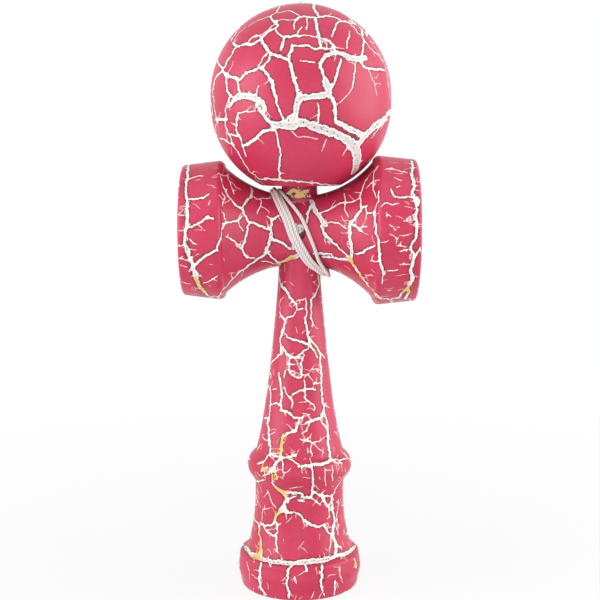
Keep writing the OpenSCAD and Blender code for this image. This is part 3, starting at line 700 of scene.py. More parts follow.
class Crackle:
    """The cracks on one piece. Each vertex knows its way from the middle of the nearest crack, how far that
    is and half the crack's width, all in millimetres, so that the lacquer can show cracks finer than the
    mesh."""
    # How far from a crack a vertex still knows of it, and how long the steps of a wandering crack are
    reach = 2.4 * MM
    step = 0.45 * MM
    # In pixels of the photo: a traced crack's steps, how far its kinks swing and how long they are
    pixel_step = 1.4
    kink_swing = 1.2
    kink_length = 4.5
    # By what share a crack swells and shrinks, and over what length
    swell = 0.45
    swell_length = 1.1 * MM
    # How often a wandering crack turns sharply, and by what angle
    sharp_share = 0.12
    sharp_turn = 0.7
    # A side that faces the camera less than the first value is unseen, and more than the second well seen
    unseen = 0.1
    well_seen = 0.25
    # A wandering crack ends where it comes this near to another
    meeting = 0.5 * MM

    def __init__(self, piece, stage, seed):
        self.picker = random.Random(seed)
        self.stage = stage
        self.mesh = piece.data
        count = len(self.mesh.vertices)
        self.points = np.empty(count * 3)
        self.mesh.vertices.foreach_get("co", self.points)
        self.points = self.points.reshape(-1, 3)
        normals = np.empty(count * 3)
        self.mesh.vertices.foreach_get("normal", normals)
        eye = np.array((stage.camera_x, stage.camera_y, stage.camera_z)) - self.points
        self.facing = np.sum(normals.reshape(-1, 3) * eye, axis=1) / np.linalg.norm(eye, axis=1)
        self.tree = BVHTree.FromObject(piece, bpy.context.evaluated_depsgraph_get())
        self.near = KDTree(count)
        for i, point in enumerate(self.points):
            self.near.insert(point, i)
        self.near.balance()
        self.way = np.full((count, 3), self.reach)
        self.away = np.full(count, self.reach)
        self.half = np.zeros(count)
        self.stain = np.zeros(count)
        self.lines = []

    def draw(self, line, halves):
        """Lay a crack along points of the surface, with half its width at each."""
        self.lines.append(line)
        for a, b, half_a, half_b in zip(line, line[1:], halves, halves[1:]):
            span = (b - a).length
            found = [i for _, i, _ in self.near.find_range((a + b) / 2, self.reach + span / 2)]
            if not found or span < CLOSE:
                continue
            found = np.array(found)
            start, along = np.array(a), np.array(b - a)
            t = np.clip((self.points[found] - start) @ along / span ** 2, 0, 1)
            way = self.points[found] - start - t[:, None] * along
            away = np.linalg.norm(way, axis=1)
            half = half_a + (half_b - half_a) * t
            better = away - half < self.away[found] - self.half[found]
            best = found[better]
            self.way[best], self.away[best], self.half[best] = way[better], away[better], half[better]

    def ragged(self, line, width, blunt=0.75):
        """Draw a crack that swells and shrinks along its way and narrows to a blunt share at its ends."""
        halves = []
        for i, point in enumerate(line):
            taper = blunt + (1 - blunt) * math.sin(math.pi * i / max(1, len(line) - 1)) ** 0.5
            halves.append(width / 2 * taper * (1 + self.swell * noise.noise(point / self.swell_length)))
        self.draw(line, halves)

    def on_photo(self, x, y):
        """The place on the piece that a pixel shows, or the nearest one where it falls beside the piece."""
        start, way = photo_ray(self.stage, x, y)
        hit = self.tree.ray_cast(start, way)[0]
        return hit or self.tree.find_nearest(start - way * start.y / way.y)[0]

    def kink(self, x, y, layer):
        """How far a small kink of the torn film moves a traced crack at a pixel. Layers far apart differ."""
        return self.kink_swing * noise.noise(Vector((x, y, layer)) / self.kink_length)

    def trace(self, cracks):
        """Draw cracks of given widths through pixels of the photo."""
        for width, *pixels in cracks:
            line = []
            for (x0, y0), (x1, y1) in zip(pixels, pixels[1:]):
                parts = max(1, round(math.dist((x0, y0), (x1, y1)) / self.pixel_step))
                for i in range(parts + ((x1, y1) == pixels[-1])):
                    x, y = x0 + (x1 - x0) * i / parts, y0 + (y1 - y0) * i / parts
                    line.append(self.on_photo(x + self.kink(x, y, 0), y + self.kink(x, y, 40)))
            self.ragged(line, width * MM)

    def wander(self, start, way, steps, bend, stop=None):
        """A line that wanders over the surface, with sharp turns now and then, until a test stops it."""
        line = [start]
        for _ in range(steps):
            normal = self.tree.find_nearest(line[-1])[1]
            way = way - way.dot(normal) * normal
            sharp = self.picker.random() < self.sharp_share
            turn = self.picker.choice((-self.sharp_turn, self.sharp_turn)) if sharp else 0
            way.rotate(Quaternion(normal, self.picker.gauss(turn, bend)))
            line.append(self.tree.find_nearest(line[-1] + way.normalized() * self.step)[0])
            way = line[-1] - line[-2]
            if way.length < CLOSE or stop and stop(line[-1]):
                break
        return line

    def feather(self, spacing, longest):
        """Split fine side cracks off the cracks that are there, a mean spacing in millimetres apart. They
        turn off by 0.5 to 1.5 radians and taper from roots of 0.2 to 0.34 mm."""
        for line in self.lines[:]:
            for i in range(1, len(line) - 1):
                if self.picker.random() < self.step / (spacing * MM):
                    normal = self.tree.find_nearest(line[i])[1]
                    way = line[i + 1] - line[i]
                    turn = self.picker.choice((-1, 1)) * self.picker.uniform(0.5, 1.5)
                    way.rotate(Quaternion(normal, turn))
                    branch = self.wander(line[i], way, self.picker.randint(3, longest), bend=0.25)
                    root = self.picker.uniform(0.1, 0.17) * MM
                    self.draw(branch, [root * (1 - 0.6 * k / len(branch)) for k in range(len(branch))])

    def craze(self, count, along=None, test=None):
        """Scatter short hairlines that hang together with no others, along a direction or any way. They are
        three to nine steps long and 0.12 to 0.2 mm wide in their middle."""
        faces = self.mesh.polygons
        for face in self.picker.choices(faces, weights=[face.area for face in faces], k=count):
            start = face.center.copy()
            way = Vector(along or [self.picker.gauss(0, 1) for _ in range(3)])
            if test is None or test(start):
                line = self.wander(start, way, self.picker.randint(3, 9), bend=0.15)
                root = self.picker.uniform(0.06, 0.1) * MM
                bulge = [math.sin(math.pi * k / len(line)) for k in range(len(line))]
                self.draw(line, [root * (0.4 + 0.6 * share) for share in bulge])

    def fill_unseen(self, room, widths, bare=None):
        """Split the sides that the photo does not show, until no cell there has more room than given in
        millimetres. Every seventh vertex is enough to measure the room."""
        spots = [i for i in range(0, len(self.points), 7)
                 if self.facing[i] < self.unseen and not (bare and bare(self.points[i]))]
        places = self.points[spots]
        free = np.full(len(spots), np.inf)

        def close(line):
            for point in line[::2]:
                np.minimum(free, np.linalg.norm(places - np.array(point), axis=1), out=free)

        def stop(point):
            i = self.near.find(point)[1]
            return self.away[i] < self.meeting or self.facing[i] > self.well_seen

        for line in self.lines:
            close(line)
        while free.max() > room * MM:
            start = Vector(places[free.argmax()])
            way = Vector([self.picker.gauss(0, 1) for _ in range(3)])
            # A crack runs up to five rooms to either side, in slight bends
            steps, bend = round(5 * room * MM / self.step), 0.08
            ahead = self.wander(start, way, steps, bend, stop)
            line = ahead[:0:-1] + self.wander(start, -way, steps, bend, stop)
            close(line)
            self.ragged(line, self.picker.choice(widths) * MM, blunt=0.6)

    def stains(self, stains):
        """Yellow the ground around pixels of the photo."""
        for pixel, radius in stains:
            for _, i, away in self.near.find_range(self.on_photo(*pixel), radius * MM):
                self.stain[i] = max(self.stain[i], 1 - away / MM / radius)

    def store(self):
        """Keep the cracks and stains as attributes of the mesh."""
        new = self.mesh.attributes.new
        new("crack_way", "FLOAT_VECTOR", "POINT").data.foreach_set("vector", (self.way / MM).ravel())
        values = {"crack_away": self.away / MM, "crack_half": self.half / MM, "stain": self.stain}
        for name, value in values.items():
            new(name, "FLOAT", "POINT").data.foreach_set("value", value)


def add(tree, kind, inputs=None, **settings):
    """Add a shader node with its settings, and set or link its inputs."""
    made = tree.nodes.new("ShaderNode" + kind)
    for name, value in settings.items():
        setattr(made, name, value)
    for key, value in (inputs or {}).items():
        if isinstance(value, bpy.types.NodeSocket):
            tree.links.new(value, made.inputs[key])
        else:
            made.inputs[key].default_value = value
    return made


def new_material(name):
    """An empty node material, its tree and the object's coordinates in it."""
    material = bpy.data.materials.new(name)
    material.use_nodes = True
    tree = material.node_tree
    tree.nodes.clear()
    return material, tree, add(tree, "TexCoord").outputs["Object"]


def crackle_lacquer(finish):
    """Crackle lacquer on turned beech: a satin red film, split into cells over a white ground that shows in
    the cracks. The film stands a little above the ground, so its torn edges catch the light, and a painted
    shade darkens the film along the torn edges of wide cracks."""
    if "crackle lacquer" in bpy.data.materials:
        return bpy.data.materials["crackle lacquer"]
    material, tree, place = new_material("crackle lacquer")
    way = add(tree, "Attribute", attribute_name="crack_way").outputs["Vector"]
    away, half, stain = [add(tree, "Attribute", attribute_name=name).outputs["Fac"]
                         for name in ("crack_away", "crack_half", "stain")]
    # Torn edges: teeth of 0.7 mm that widen or narrow a crack by up to 0.6 of its half width, or 0.24 mm
    torn = add(tree, "TexNoise", {"Vector": place, "Scale": 1 / (0.7 * MM), "Detail": 3.0,
                                  "Roughness": 0.65}).outputs["Fac"]
    teeth = add(tree, "MapRange", {"Value": torn, "From Min": 0.3, "From Max": 0.7, "To Min": -0.6,
                                   "To Max": 0.6}).outputs[0]
    swing = add(tree, "Math", {0: half, 1: 0.4}, operation="MINIMUM").outputs[0]
    middle = add(tree, "VectorMath", {0: way}, operation="LENGTH").outputs["Value"]
    # Between two cracks the ways cancel out, so the plain distance holds there
    least = add(tree, "Math", {0: away, 1: 0.25}, operation="SUBTRACT").outputs[0]
    middle = add(tree, "Math", {0: middle, 1: least}, operation="MAXIMUM").outputs[0]
    edge = add(tree, "Math", {0: teeth, 1: swing, 2: half}, operation="MULTIPLY_ADD").outputs[0]
    outside = add(tree, "Math", {0: middle, 1: edge}, operation="SUBTRACT").outputs[0]
    bare = add(tree, "MapRange", {"Value": outside, "From Min": -0.05, "From Max": 0.04, "To Min": 1.0,
                                  "To Max": 0.0}, interpolation_type="SMOOTHSTEP").outputs[0]
    # The film: a slow change of thickness over 14 mm and a fine mottle of 1.4 mm
    cloud = add(tree, "TexNoise", {"Vector": place, "Scale": 1 / (14 * MM), "Detail": 2.0}).outputs["Fac"]
    mottle = add(tree, "TexNoise", {"Vector": place, "Scale": 1 / (1.4 * MM), "Detail": 3.0}).outputs["Fac"]
    thick = add(tree, "Math", {0: mottle, 1: 0.45, 2: cloud}, operation="MULTIPLY_ADD").outputs[0]
    thick = add(tree, "MapRange", {"Value": thick, "From Min": 0.5, "From Max": 0.95}).outputs[0]
    film = add(tree, "Mix", {0: thick, 6: finish.red, 7: finish.deep_red}, data_type="RGBA").outputs[2]
    # Painted shade: the film's edge is darker for 0.6 mm along wide cracks, as shade from the torn film,
    # and along hairlines it isn't
    painted_edge_shade = add(tree, "MapRange", {"Value": outside, "From Min": 0.15, "From Max": 0.6, "To Min": 1.0,
                                 "To Max": 0.0}, interpolation_type="SMOOTHSTEP").outputs[0]
    wide = add(tree, "MapRange", {"Value": half, "From Min": 0.12, "From Max": 0.35}).outputs[0]
    painted_edge_shade = add(tree, "Math", {0: painted_edge_shade, 1: wide}, operation="MULTIPLY").outputs[0]
    film = add(tree, "Mix", {0: painted_edge_shade, 6: film, 7: finish.edge}, data_type="RGBA").outputs[2]
    # The ground: rubbed grey in the middle of wide cracks, with crumbs of film 0.5 mm across, and yellowed in
    # places
    rub = add(tree, "MapRange", {"Value": outside, "From Min": -0.25, "From Max": -0.7}).outputs[0]
    ground = add(tree, "Mix", {0: rub, 6: finish.ground, 7: finish.grey}, data_type="RGBA").outputs[2]
    crumbs = add(tree, "TexVoronoi", {"Vector": place, "Scale": 1 / (1.15 * MM)}).outputs["Distance"]
    crumb = add(tree, "MapRange", {"Value": crumbs, "From Min": 0.2, "From Max": 0.28, "To Min": 0.9,
                                   "To Max": 0.0}).outputs[0]
    crumb = add(tree, "Math", {0: crumb, 1: rub}, operation="MULTIPLY").outputs[0]
    ground = add(tree, "Mix", {0: crumb, 6: ground, 7: finish.edge}, data_type="RGBA").outputs[2]
    yellow = add(tree, "MapRange", {"Value": stain, "From Min": 0.05, "From Max": 0.6}).outputs[0]
    ground = add(tree, "Mix", {0: yellow, 6: ground, 7: finish.stain}, data_type="RGBA").outputs[2]
    skin = add(tree, "Mix", {0: bare, 6: film, 7: ground}, data_type="RGBA").outputs[2]
    rough = add(tree, "MapRange", {"Value": bare, "To Min": 0.4, "To Max": 0.75}).outputs[0]
    # Relief: the film stands 0.12 mm above the ground
    relief = add(tree, "MapRange", {"Value": outside, "From Min": -0.12, "From Max": 0.1}).outputs[0]
    bump = add(tree, "Bump", {"Height": relief, "Distance": 0.12 * MM, "Strength": 0.8}).outputs[0]
    coat = add(tree, "BsdfPrincipled", {"Base Color": skin, "Roughness": rough, "IOR": 1.45,
                                        "Normal": bump}).outputs[0]
    add(tree, "OutputMaterial", {"Surface": coat})
    return material


def cotton_string(finish):
    """Twisted cotton string: dull off-white plies with fine fibres, and painted shade that darkens the
    grooves where the plies meet.
    """
    if "twisted cotton string" in bpy.data.materials:
        return bpy.data.materials["twisted cotton string"]
    material, tree, place = new_material("twisted cotton string")
    # Fibres, drawn 0.35 mm coarse so that they show
    fibre = add(tree, "TexNoise", {"Vector": place, "Scale": 1 / (0.35 * MM), "Detail": 3.0}).outputs["Fac"]
    # Painted shade: the grooves between the plies are darkened, on top of the fibres' own darker tone
    groove = add(tree, "Attribute", attribute_name="groove").outputs["Fac"]
    fibre_tone_and_groove_shade = add(tree, "Math", {0: fibre, 1: 0.35, 2: groove}, operation="MULTIPLY_ADD").outputs[0]
    shade = add(tree, "MapRange", {"Value": fibre_tone_and_groove_shade, "From Min": 0.2, "From Max": 0.95}).outputs[0]
    yarn = add(tree, "Mix", {0: shade, 6: finish.cotton, 7: finish.cotton_fibre_and_groove_shade}, data_type="RGBA").outputs[2]
    bump = add(tree, "Bump", {"Height": fibre, "Distance": 0.06 * MM, "Strength": 0.7}).outputs[0]
    thread = add(tree, "BsdfPrincipled", {"Base Color": yarn, "Roughness": 0.9, "IOR": 1.45,
                                          "Normal": bump}).outputs[0]
    add(tree, "OutputMaterial", {"Surface": thread})
    return material


def turned_beech(finish):
    """Turned beech with an oil finish: warm pale brown with short darker flecks along the grain."""
    material, tree, place = new_material("turned beech")
    # Flecks 0.6 mm wide and drawn out along the grain
    grain = add(tree, "Mapping", {"Vector": place, "Scale": (1, 1, 0.15)}).outputs[0]
    flecks = add(tree, "TexNoise", {"Vector": grain, "Scale": 1 / (0.6 * MM), "Detail": 4.0}).outputs["Fac"]
    shade = add(tree, "MapRange", {"Value": flecks, "From Min": 0.45, "From Max": 0.7}).outputs[0]
    wood = add(tree, "Mix", {0: shade, 6: finish.beech, 7: finish.beech_grain}, data_type="RGBA").outputs[2]
    bump = add(tree, "Bump", {"Height": flecks, "Distance": 0.05 * MM, "Strength": 0.5}).outputs[0]
    beech = add(tree, "BsdfPrincipled", {"Base Color": wood, "Roughness": 0.55, "Normal": bump}).outputs[0]
    add(tree, "OutputMaterial", {"Surface": beech})
    return material


def seen_rays(tree):
    """One for rays from the camera, a mirror or glass, and zero for rays that only bring light."""
    light = add(tree, "LightPath").outputs
    seen = light["Is Camera Ray"]
    for kind in ("Is Glossy Ray", "Is Transmission Ray"):
        seen = add(tree, "Math", {0: seen, 1: light[kind]}, operation="MAXIMUM").outputs[0]
    return seen


def finish_piece(piece, material, nodes, body=None):
    """Shade a finished piece smooth, give it its material, hide the nodes that it stands for, and hang it on
    the body that it rides on, where one is given."""
    piece.data.materials.clear()
    piece.data.materials.append(material)
    only(piece)
    bpy.ops.object.shade_smooth_by_angle(angle=math.radians(40))
    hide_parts(*nodes)
    if body:
        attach(piece, body)


def bezier(a, b, c, d, parts):
    """Points on a curve from a to d, led by b and c."""
    for i in range(parts + 1):
        t = i / parts
        yield a * (1 - t) ** 3 + b * 3 * t * (1 - t) ** 2 + c * 3 * t * t * (1 - t) + d * t ** 3


def round_winding(column):
    """A column of the winding's table as angles and values on a smooth closed curve."""
    points = []
    count = len(WINDING)
    for i in range(count):
        angles = [WINDING[k % count][0] + 360 * (k // count) for k in range(i - 1, i + 3)]
        values = [WINDING[k % count][column] * MM for k in range(i - 1, i + 3)]
        points += easy_curve(values[1], angles[1], (values[2] - values[0]) / (angles[2] - angles[0]),
                             values[2], angles[2], (values[3] - values[1]) / (angles[3] - angles[1]))[:-1]
    return [angle for _, angle in points], [value for value, _ in points]


def string_winding(string, cross, strand):
    """The string's turns round the crosspiece's waist, as points of its middle line."""
    waist = cross.waist_d / 2
    half_turns = (string.turns - 1) / 2
    last_turn = 360 * (string.turns - 1)
    middle, spacing, heap, off = [round_winding(column) for column in range(1, 5)]
    # The last strand lies loose over this many degrees to either side of the front
    loose_span = 88

    def at(curve, a):
        return float(np.interp(a, *curve, period=360))

    def wind(a):
        up, out = math.sin(math.radians(a)), math.cos(math.radians(a))
        slant = (at(middle, a + 2) - at(middle, a - 2)) / math.radians(4) / (waist + strand)
        front = (a + last_turn) / loose_span
        free = math.cos(front * math.pi / 2) ** 2 if abs(front) < 1 else 0
        aside = (a / 360 + half_turns) * at(spacing, a) * math.hypot(1, slant)
        x = at(middle, a) - aside + string.loose * free
        flank = cross.small_flank_r if x < 0 else cross.big_flank_r
        r = waist + flank - math.sqrt(flank * flank - x * x) + strand + at(off, a)
        r += round(-a / 360) % 2 * at(heap, a) * (1 - free)
        return Vector((x, -r * out, cross.axis_h + r * up))

    # The winding is eased over a few points to either side, since a string has no sharp kinks
    start, stop, rings, ease = 130, -175 - last_turn, 1212, 6
    winding = np.array([wind(start + (stop - start) * i / rings) for i in range(rings + 1)])
    return [Vector(winding[i - ease:i + ease + 1].mean(axis=0)) for i in range(ease, rings + 1 - ease)]


def string_route(settings):
    """The string's middle line: from the stop knot through the crosspiece, round its waist and over the
    ball."""
    string, cross, ball = settings.string, settings.crosspiece, settings.ball
    strand = string.diameter / 2 + string.lift
    winding = string_winding(string, cross, strand)
    start_way = (winding[1] - winding[0]).normalized()
    stop_way = (winding[-1] - winding[-2]).normalized()

    # From the knot straight through the hole, then in a bow into the winding
    knot_gap, bow_out, bow_in = 0.25 * MM, 3.5 * MM, 11.5 * MM
    inside = Vector((cross.hole_x, cross.mouth_y - knot_gap, cross.axis_h))
    outside = Vector((cross.hole_x, cross.waist_d / 2 - string.diameter, cross.axis_h))
    lead = [inside + (outside - inside) * i / 40 for i in range(40)]
    lead += bezier(outside, outside + Vector((0, bow_out, 0)),
                   winding[0] - bow_in * start_way, winding[0], 60)

    # From the winding to the ball's back, up over it, round the lip of its bore and down to the bead
    low_centre = ball.low + math.sqrt((ball.diameter / 2) ** 2 - (ball.flat_d / 2) ** 2)
    ride = ball.diameter / 2 + strand
    meet_x, meet_a, reach = 2 * MM, math.radians(27), 9 * MM
    meet = Vector((meet_x, ride * math.cos(meet_a), low_centre - ride * math.sin(meet_a)))
    meet_way = Vector((0, math.sin(meet_a), math.cos(meet_a)))
    lip_y = ball.bore_r + ball.lip_r
    lip_z = low_centre + ball.belt + math.sqrt((ball.diameter / 2) ** 2 - lip_y ** 2) - ball.lip_r
    crown = math.acos(lip_y / ride)
    run = list(bezier(winding[-1], winding[-1] + reach * stop_way, meet - reach * meet_way, meet, 90))
    parts = 180
    for i in range(1, parts + 1):
        a = -meet_a + (crown + meet_a) * i / parts
        run.append(Vector((meet_x + (ball.x - meet_x) * i / parts, ride * math.cos(a),
                           low_centre + (ball.belt if a > 0 else 0) + ride * math.sin(a))))
    run += [Vector((ball.x, y, z)) for y, z in arc((lip_y, lip_z), lip_y, 90, 180, 30)[1:]]
    run.append(Vector((ball.x, 0, string.bead_knot_z)))
    return lead[:-1] + winding[:-1] + run


def even(points, step):
    """The route as points an even step apart, and its length."""
    points = np.array(points)
    done = np.concatenate(([0], np.cumsum(np.linalg.norm(np.diff(points, axis=0), axis=1))))
    places = np.linspace(0, done[-1], max(2, round(done[-1] / step)))
    return np.column_stack([np.interp(places, done, points[:, k]) for k in range(3)]), done[-1]


def twisted(name, route, string):
    """Plies twisted together along a route, as a closed mesh with its grooves' depth as an attribute."""
    points, length = even(route, 0.25 * MM)
    around = 6 * string.plies
    # The plies' crests and the grooves between them, as shares of the string's radius
    crest, groove_depth = 1.02, 0.07
    mesh = bpy.data.meshes.new(name)
    piece = bpy.data.objects.new(name, mesh)
    bpy.context.collection.objects.link(piece)
    shape = bmesh.new()
    # The grooves' depth, which the string's material also paints as shade
    groove = shape.verts.layers.float.new("groove")
    # Any side will do to start from that isn't along the string
    side = Vector((0.3, 0.2, 1))
    rings = []
    for i, point in enumerate(points):
        way = Vector(points[min(i + 1, len(points) - 1)] - points[max(i - 1, 0)]).normalized()
        side = (side - side.dot(way) * way).normalized()
        other = way.cross(side)
        turn = 2 * math.pi * length * i / (len(points) - 1) / string.lay
        ring = []
        for k in range(around):
            a = 2 * math.pi * k / around
            hollow = 1 - abs(math.cos(string.plies * a / 2))
            r = string.diameter / 2 * (crest - groove_depth * hollow)
            out = math.cos(a + turn) * side + math.sin(a + turn) * other
            vertex = shape.verts.new(Vector(point) + r * out)
            vertex[groove] = hollow
            ring.append(vertex)
        rings.append(ring)
    for one, two in zip(rings, rings[1:]):
        for k in range(around):
            shape.faces.new((one[k], one[k - 1], two[k - 1], two[k]))
    shape.faces.new(rings[0])
    shape.faces.new(reversed(rings[-1]))
    bmesh.ops.recalc_face_normals(shape, faces=shape.faces)
    shape.to_mesh(mesh)
    shape.free()
    return piece, points, length


class KENDAMA_OT_stage(bpy.types.Operator):
    """Set up the floor, the even white surroundings, the soft lamps and the photo's camera"""
    bl_idname = "kendama.stage"
    bl_label = "Stage"

    def execute(self, context):
        settings = context.scene.kendama
        stage = settings.stage
        camera = bpy.data.objects.new("camera", bpy.data.cameras.new("camera"))
        context.collection.objects.link(camera)
        camera.location = (stage.camera_x, stage.camera_y, stage.camera_z)
        camera.rotation_euler = (math.pi / 2 - stage.pitch, 0, 0)
        camera.data.sensor_width = 36
        camera.data.lens = stage.focal / PHOTO_SIZE * camera.data.sensor_width
        camera.data.clip_start = 0.01
        context.scene.camera = camera
        context.scene.view_settings.view_transform = "Standard"
        self.floor(context, settings)
        self.sky(context, stage)
        # Left and right soft boxes, and weak ones overhead and low in front, aimed at the kendama's middle:
        # place and size in metres, power in watts
        aim = Vector((0, 0, 0.1))
        for name, where, side, power in (("left box", (-0.62, -0.27, 0.24), 0.55, 3.4),
                                         ("right box", (0.66, -0.1, 0.22), 0.7, 4.8),
                                         ("top box", (0, -0.3, 0.8), 0.6, 1.4),
                                         ("low box", (0, -0.75, 0.02), 0.5, 1.4)):
            lamp = bpy.data.lights.new(name, "AREA")
            lamp.shape = "SQUARE"
            lamp.size = side
            lamp.energy = power
            box = bpy.data.objects.new(name, lamp)
            context.collection.objects.link(box)
            box.location = where
            box.rotation_euler = (aim - Vector(where)).to_track_quat("-Z", "Y").to_euler()
        return {"FINISHED"}

    def floor(self, context, settings):
        """A pale matt floor that the camera sees as white, with the object's shadow on it."""
        bpy.ops.object.select_all(action="DESELECT")
        bpy.ops.mesh.primitive_plane_add(size=settings.stage.floor)
        floor = context.active_object
        floor.name = "floor"
        material, tree, place = new_material("matt white paper")
        matt = add(tree, "BsdfDiffuse", {"Color": settings.finish.floor}).outputs[0]
        # The paper fades to pure white away from the kendama's own shadow
        far = add(tree, "VectorMath", {0: place}, operation="LENGTH").outputs["Value"]
        fade = add(tree, "MapRange", {"Value": far, "From Min": 40 * MM, "From Max": 330 * MM, "To Min": 0.86,
                                      "To Max": 1.0}, interpolation_type="SMOOTHSTEP").outputs[0]
        share = add(tree, "Math", {0: fade, 1: seen_rays(tree)}, operation="MULTIPLY").outputs[0]
        glow = add(tree, "Emission").outputs[0]
        both = add(tree, "MixShader", {0: share, 1: matt, 2: glow}).outputs[0]
        add(tree, "OutputMaterial", {"Surface": both})
        floor.data.materials.append(material)

    def sky(self, context, stage):
        """Even white surroundings: full white where they are seen or mirrored, weaker as light."""
        world = bpy.data.worlds.new("white surroundings")
        world.use_nodes = True
        tree = world.node_tree
        tree.nodes.clear()
        seen = seen_rays(tree)
        strength = add(tree, "MapRange", {"Value": seen, "To Min": stage.sky, "To Max": 1.0}).outputs[0]
        glow = add(tree, "Background", {"Color": (1, 1, 1, 1), "Strength": strength}).outputs[0]
        add(tree, "OutputWorld", {"Surface": glow})
        context.scene.world = world


class KENDAMA_OT_string(bpy.types.Operator):
    """Wind the string round the crosspiece, lead it over the ball and tie its two knots"""
    bl_idname = "kendama.string"
    bl_label = "String"

    def execute(self, context):
        settings = context.scene.kendama
        sizes = settings.string
        route = string_route(settings)
        string, points, length = twisted("string_cord", route, sizes)
        finish_piece(string, cotton_string(settings.finish),
                     ("string_lead", "string_winding", "string_ball_run"))
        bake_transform(string)
        stop = route[0] + Vector((sizes.knot_x, -0.5 * sizes.knot_d, sizes.knot_z))
        under_bead = route[-1] - Vector((0, 0, sizes.bead_knot_d * 0.4))
        back, up = Vector((0, 1, 0)), Vector((0, 0, 1))
        knots = [
            self.knot("crosspiece_knot", "sarado_knot", "ken", sizes.knot_d, settings, stop, back),
            self.knot("bead_stop_knot", "bead_knot", "bead", sizes.bead_knot_d, settings, under_bead, up)]
        return {"FINISHED"}

    def knot(self, name, node, body, diameter, settings, centre, way):
        """A stop knot: the string laid in a tight trefoil across the way that it comes."""
        loop = (diameter - settings.string.diameter) / 2 / 3
        side = Vector((1, 0, 0))
        other = way.cross(side)
        route = []
        parts = 72
        for i in range(parts + 1):
            a = 2 * math.pi * i / parts
            out = loop * (2 + math.cos(3 * a))
            route.append(centre + out * math.cos(2 * a) * side + out * math.sin(2 * a) * other
                         + 1.5 * loop * math.sin(3 * a) * way)
        knot, _, _ = twisted(name, route, settings.string)
        finish_piece(knot, cotton_string(settings.finish), [node], body)
        return knot


class KENDAMA_OT_ken(bpy.types.Operator):
    """Turn the ken: base cup, ledge, stem with collar, taper and spike"""
    bl_idname = "kendama.ken"
    bl_label = "Ken"

    def execute(self, context):
        settings = context.scene.kendama
        cross = settings.crosspiece
        ken = turned("ken_turned", self.outline(settings.ken), (0, 0, 0), "Z", steps=234)
        reach = Vector((0, settings.ken.base_d, 0))
        axis = Vector((cross.hole_x, 0, cross.axis_h))
        cut(ken, drill(cross.hole_d / 2, axis - reach, axis + reach))
        cracks = Crackle(ken, settings.stage, seed=11)
        cracks.trace(KEN_CRACKS)
        cracks.fill_unseen(room=4.2, widths=(0.35, 0.5, 0.6, 0.7, 0.9, 1.1))
        cracks.feather(spacing=6, longest=9)
        cracks.craze(count=300)
        cracks.craze(count=260, along=(0, 0, 1))
        cracks.stains(KEN_STAINS)
        cracks.store()
        finish_piece(ken, crackle_lacquer(settings.finish), ["ken"], "ken")
        return {"FINISHED"}

    def outline(self, k):
        """The outline from the bottom of the base cup, round the foot and up to the spike's tip."""
        cup_r = ((k.mouth_d / 2) ** 2 + k.cup_depth ** 2) / (2 * k.cup_depth)
        cup_a = math.degrees(math.asin(k.mouth_d / 2 / cup_r))
        wall_foot, wall_ledge = k.base_d / 2 * k.foot_wall, k.base_d / 2 * k.ledge_wall
        tip_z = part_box("ken")[1][2] - k.tip_d / 2
        base_cup = arc((0, k.cup_depth - cup_r), cup_r, 90, 90 - cup_a, 16)
        quarter = [math.pi / 2 * i / 8 for i in range(9)]
        foot = [(k.foot_d / 2 + (wall_foot - k.foot_d / 2) * math.sin(a), k.foot_r * (1 - math.cos(a)))
                for a in quarter]
        collar_low, collar_top = k.collar_z - k.collar_h / 2, k.collar_z + k.collar_h / 2
        shown = (
            foot
            + easy_curve(wall_foot, k.foot_r, 0, k.base_d / 2, k.base_wide_h, 0)
            + easy_curve(k.base_d / 2, k.base_wide_h, 0, wall_ledge, k.base_h - k.ledge_r, 0)
            + arc((wall_ledge - k.ledge_r, k.base_h - k.ledge_r), k.ledge_r, 0, 90, 8)
            + easy_curve(k.stem_foot_d / 2, k.base_h + k.ledge_rise, k.foot_slope, k.neck_d / 2, k.neck_h, 0)
            + easy_curve(k.neck_d / 2, collar_low, k.collar_rise, k.collar_d / 2, k.collar_z, 0)
            + easy_curve(k.collar_d / 2, k.collar_z, 0, k.root_d / 2, collar_top, k.collar_fall)
            + easy_curve(k.root_d / 2, collar_top, k.root_slope, k.mid_d / 2, k.mid_h, k.mid_slope)
            + easy_curve(k.mid_d / 2, k.mid_h, k.mid_slope, k.taper_d / 2, k.taper_h, k.taper_slope))
        spike = easy_curve(k.spike_d / 2, k.spike_h, k.spike_slope, k.tip_d / 2, tip_z, k.tip_slope)
        tip = arc((0, tip_z), k.tip_d / 2, 0, 90, 8)
        # The mesh is fine where cracks are seen and coarser in the cup, in the bore and on the spike
        fine, coarse, hidden = 0.46 * MM, 0.8 * MM, 1.2 * MM
        return (fill(base_cup, coarse) + eased(fill(shown, fine), passes=4)
                + fill([shown[-1], spike[0]], hidden)[1:] + fill(spike, coarse) + tip)


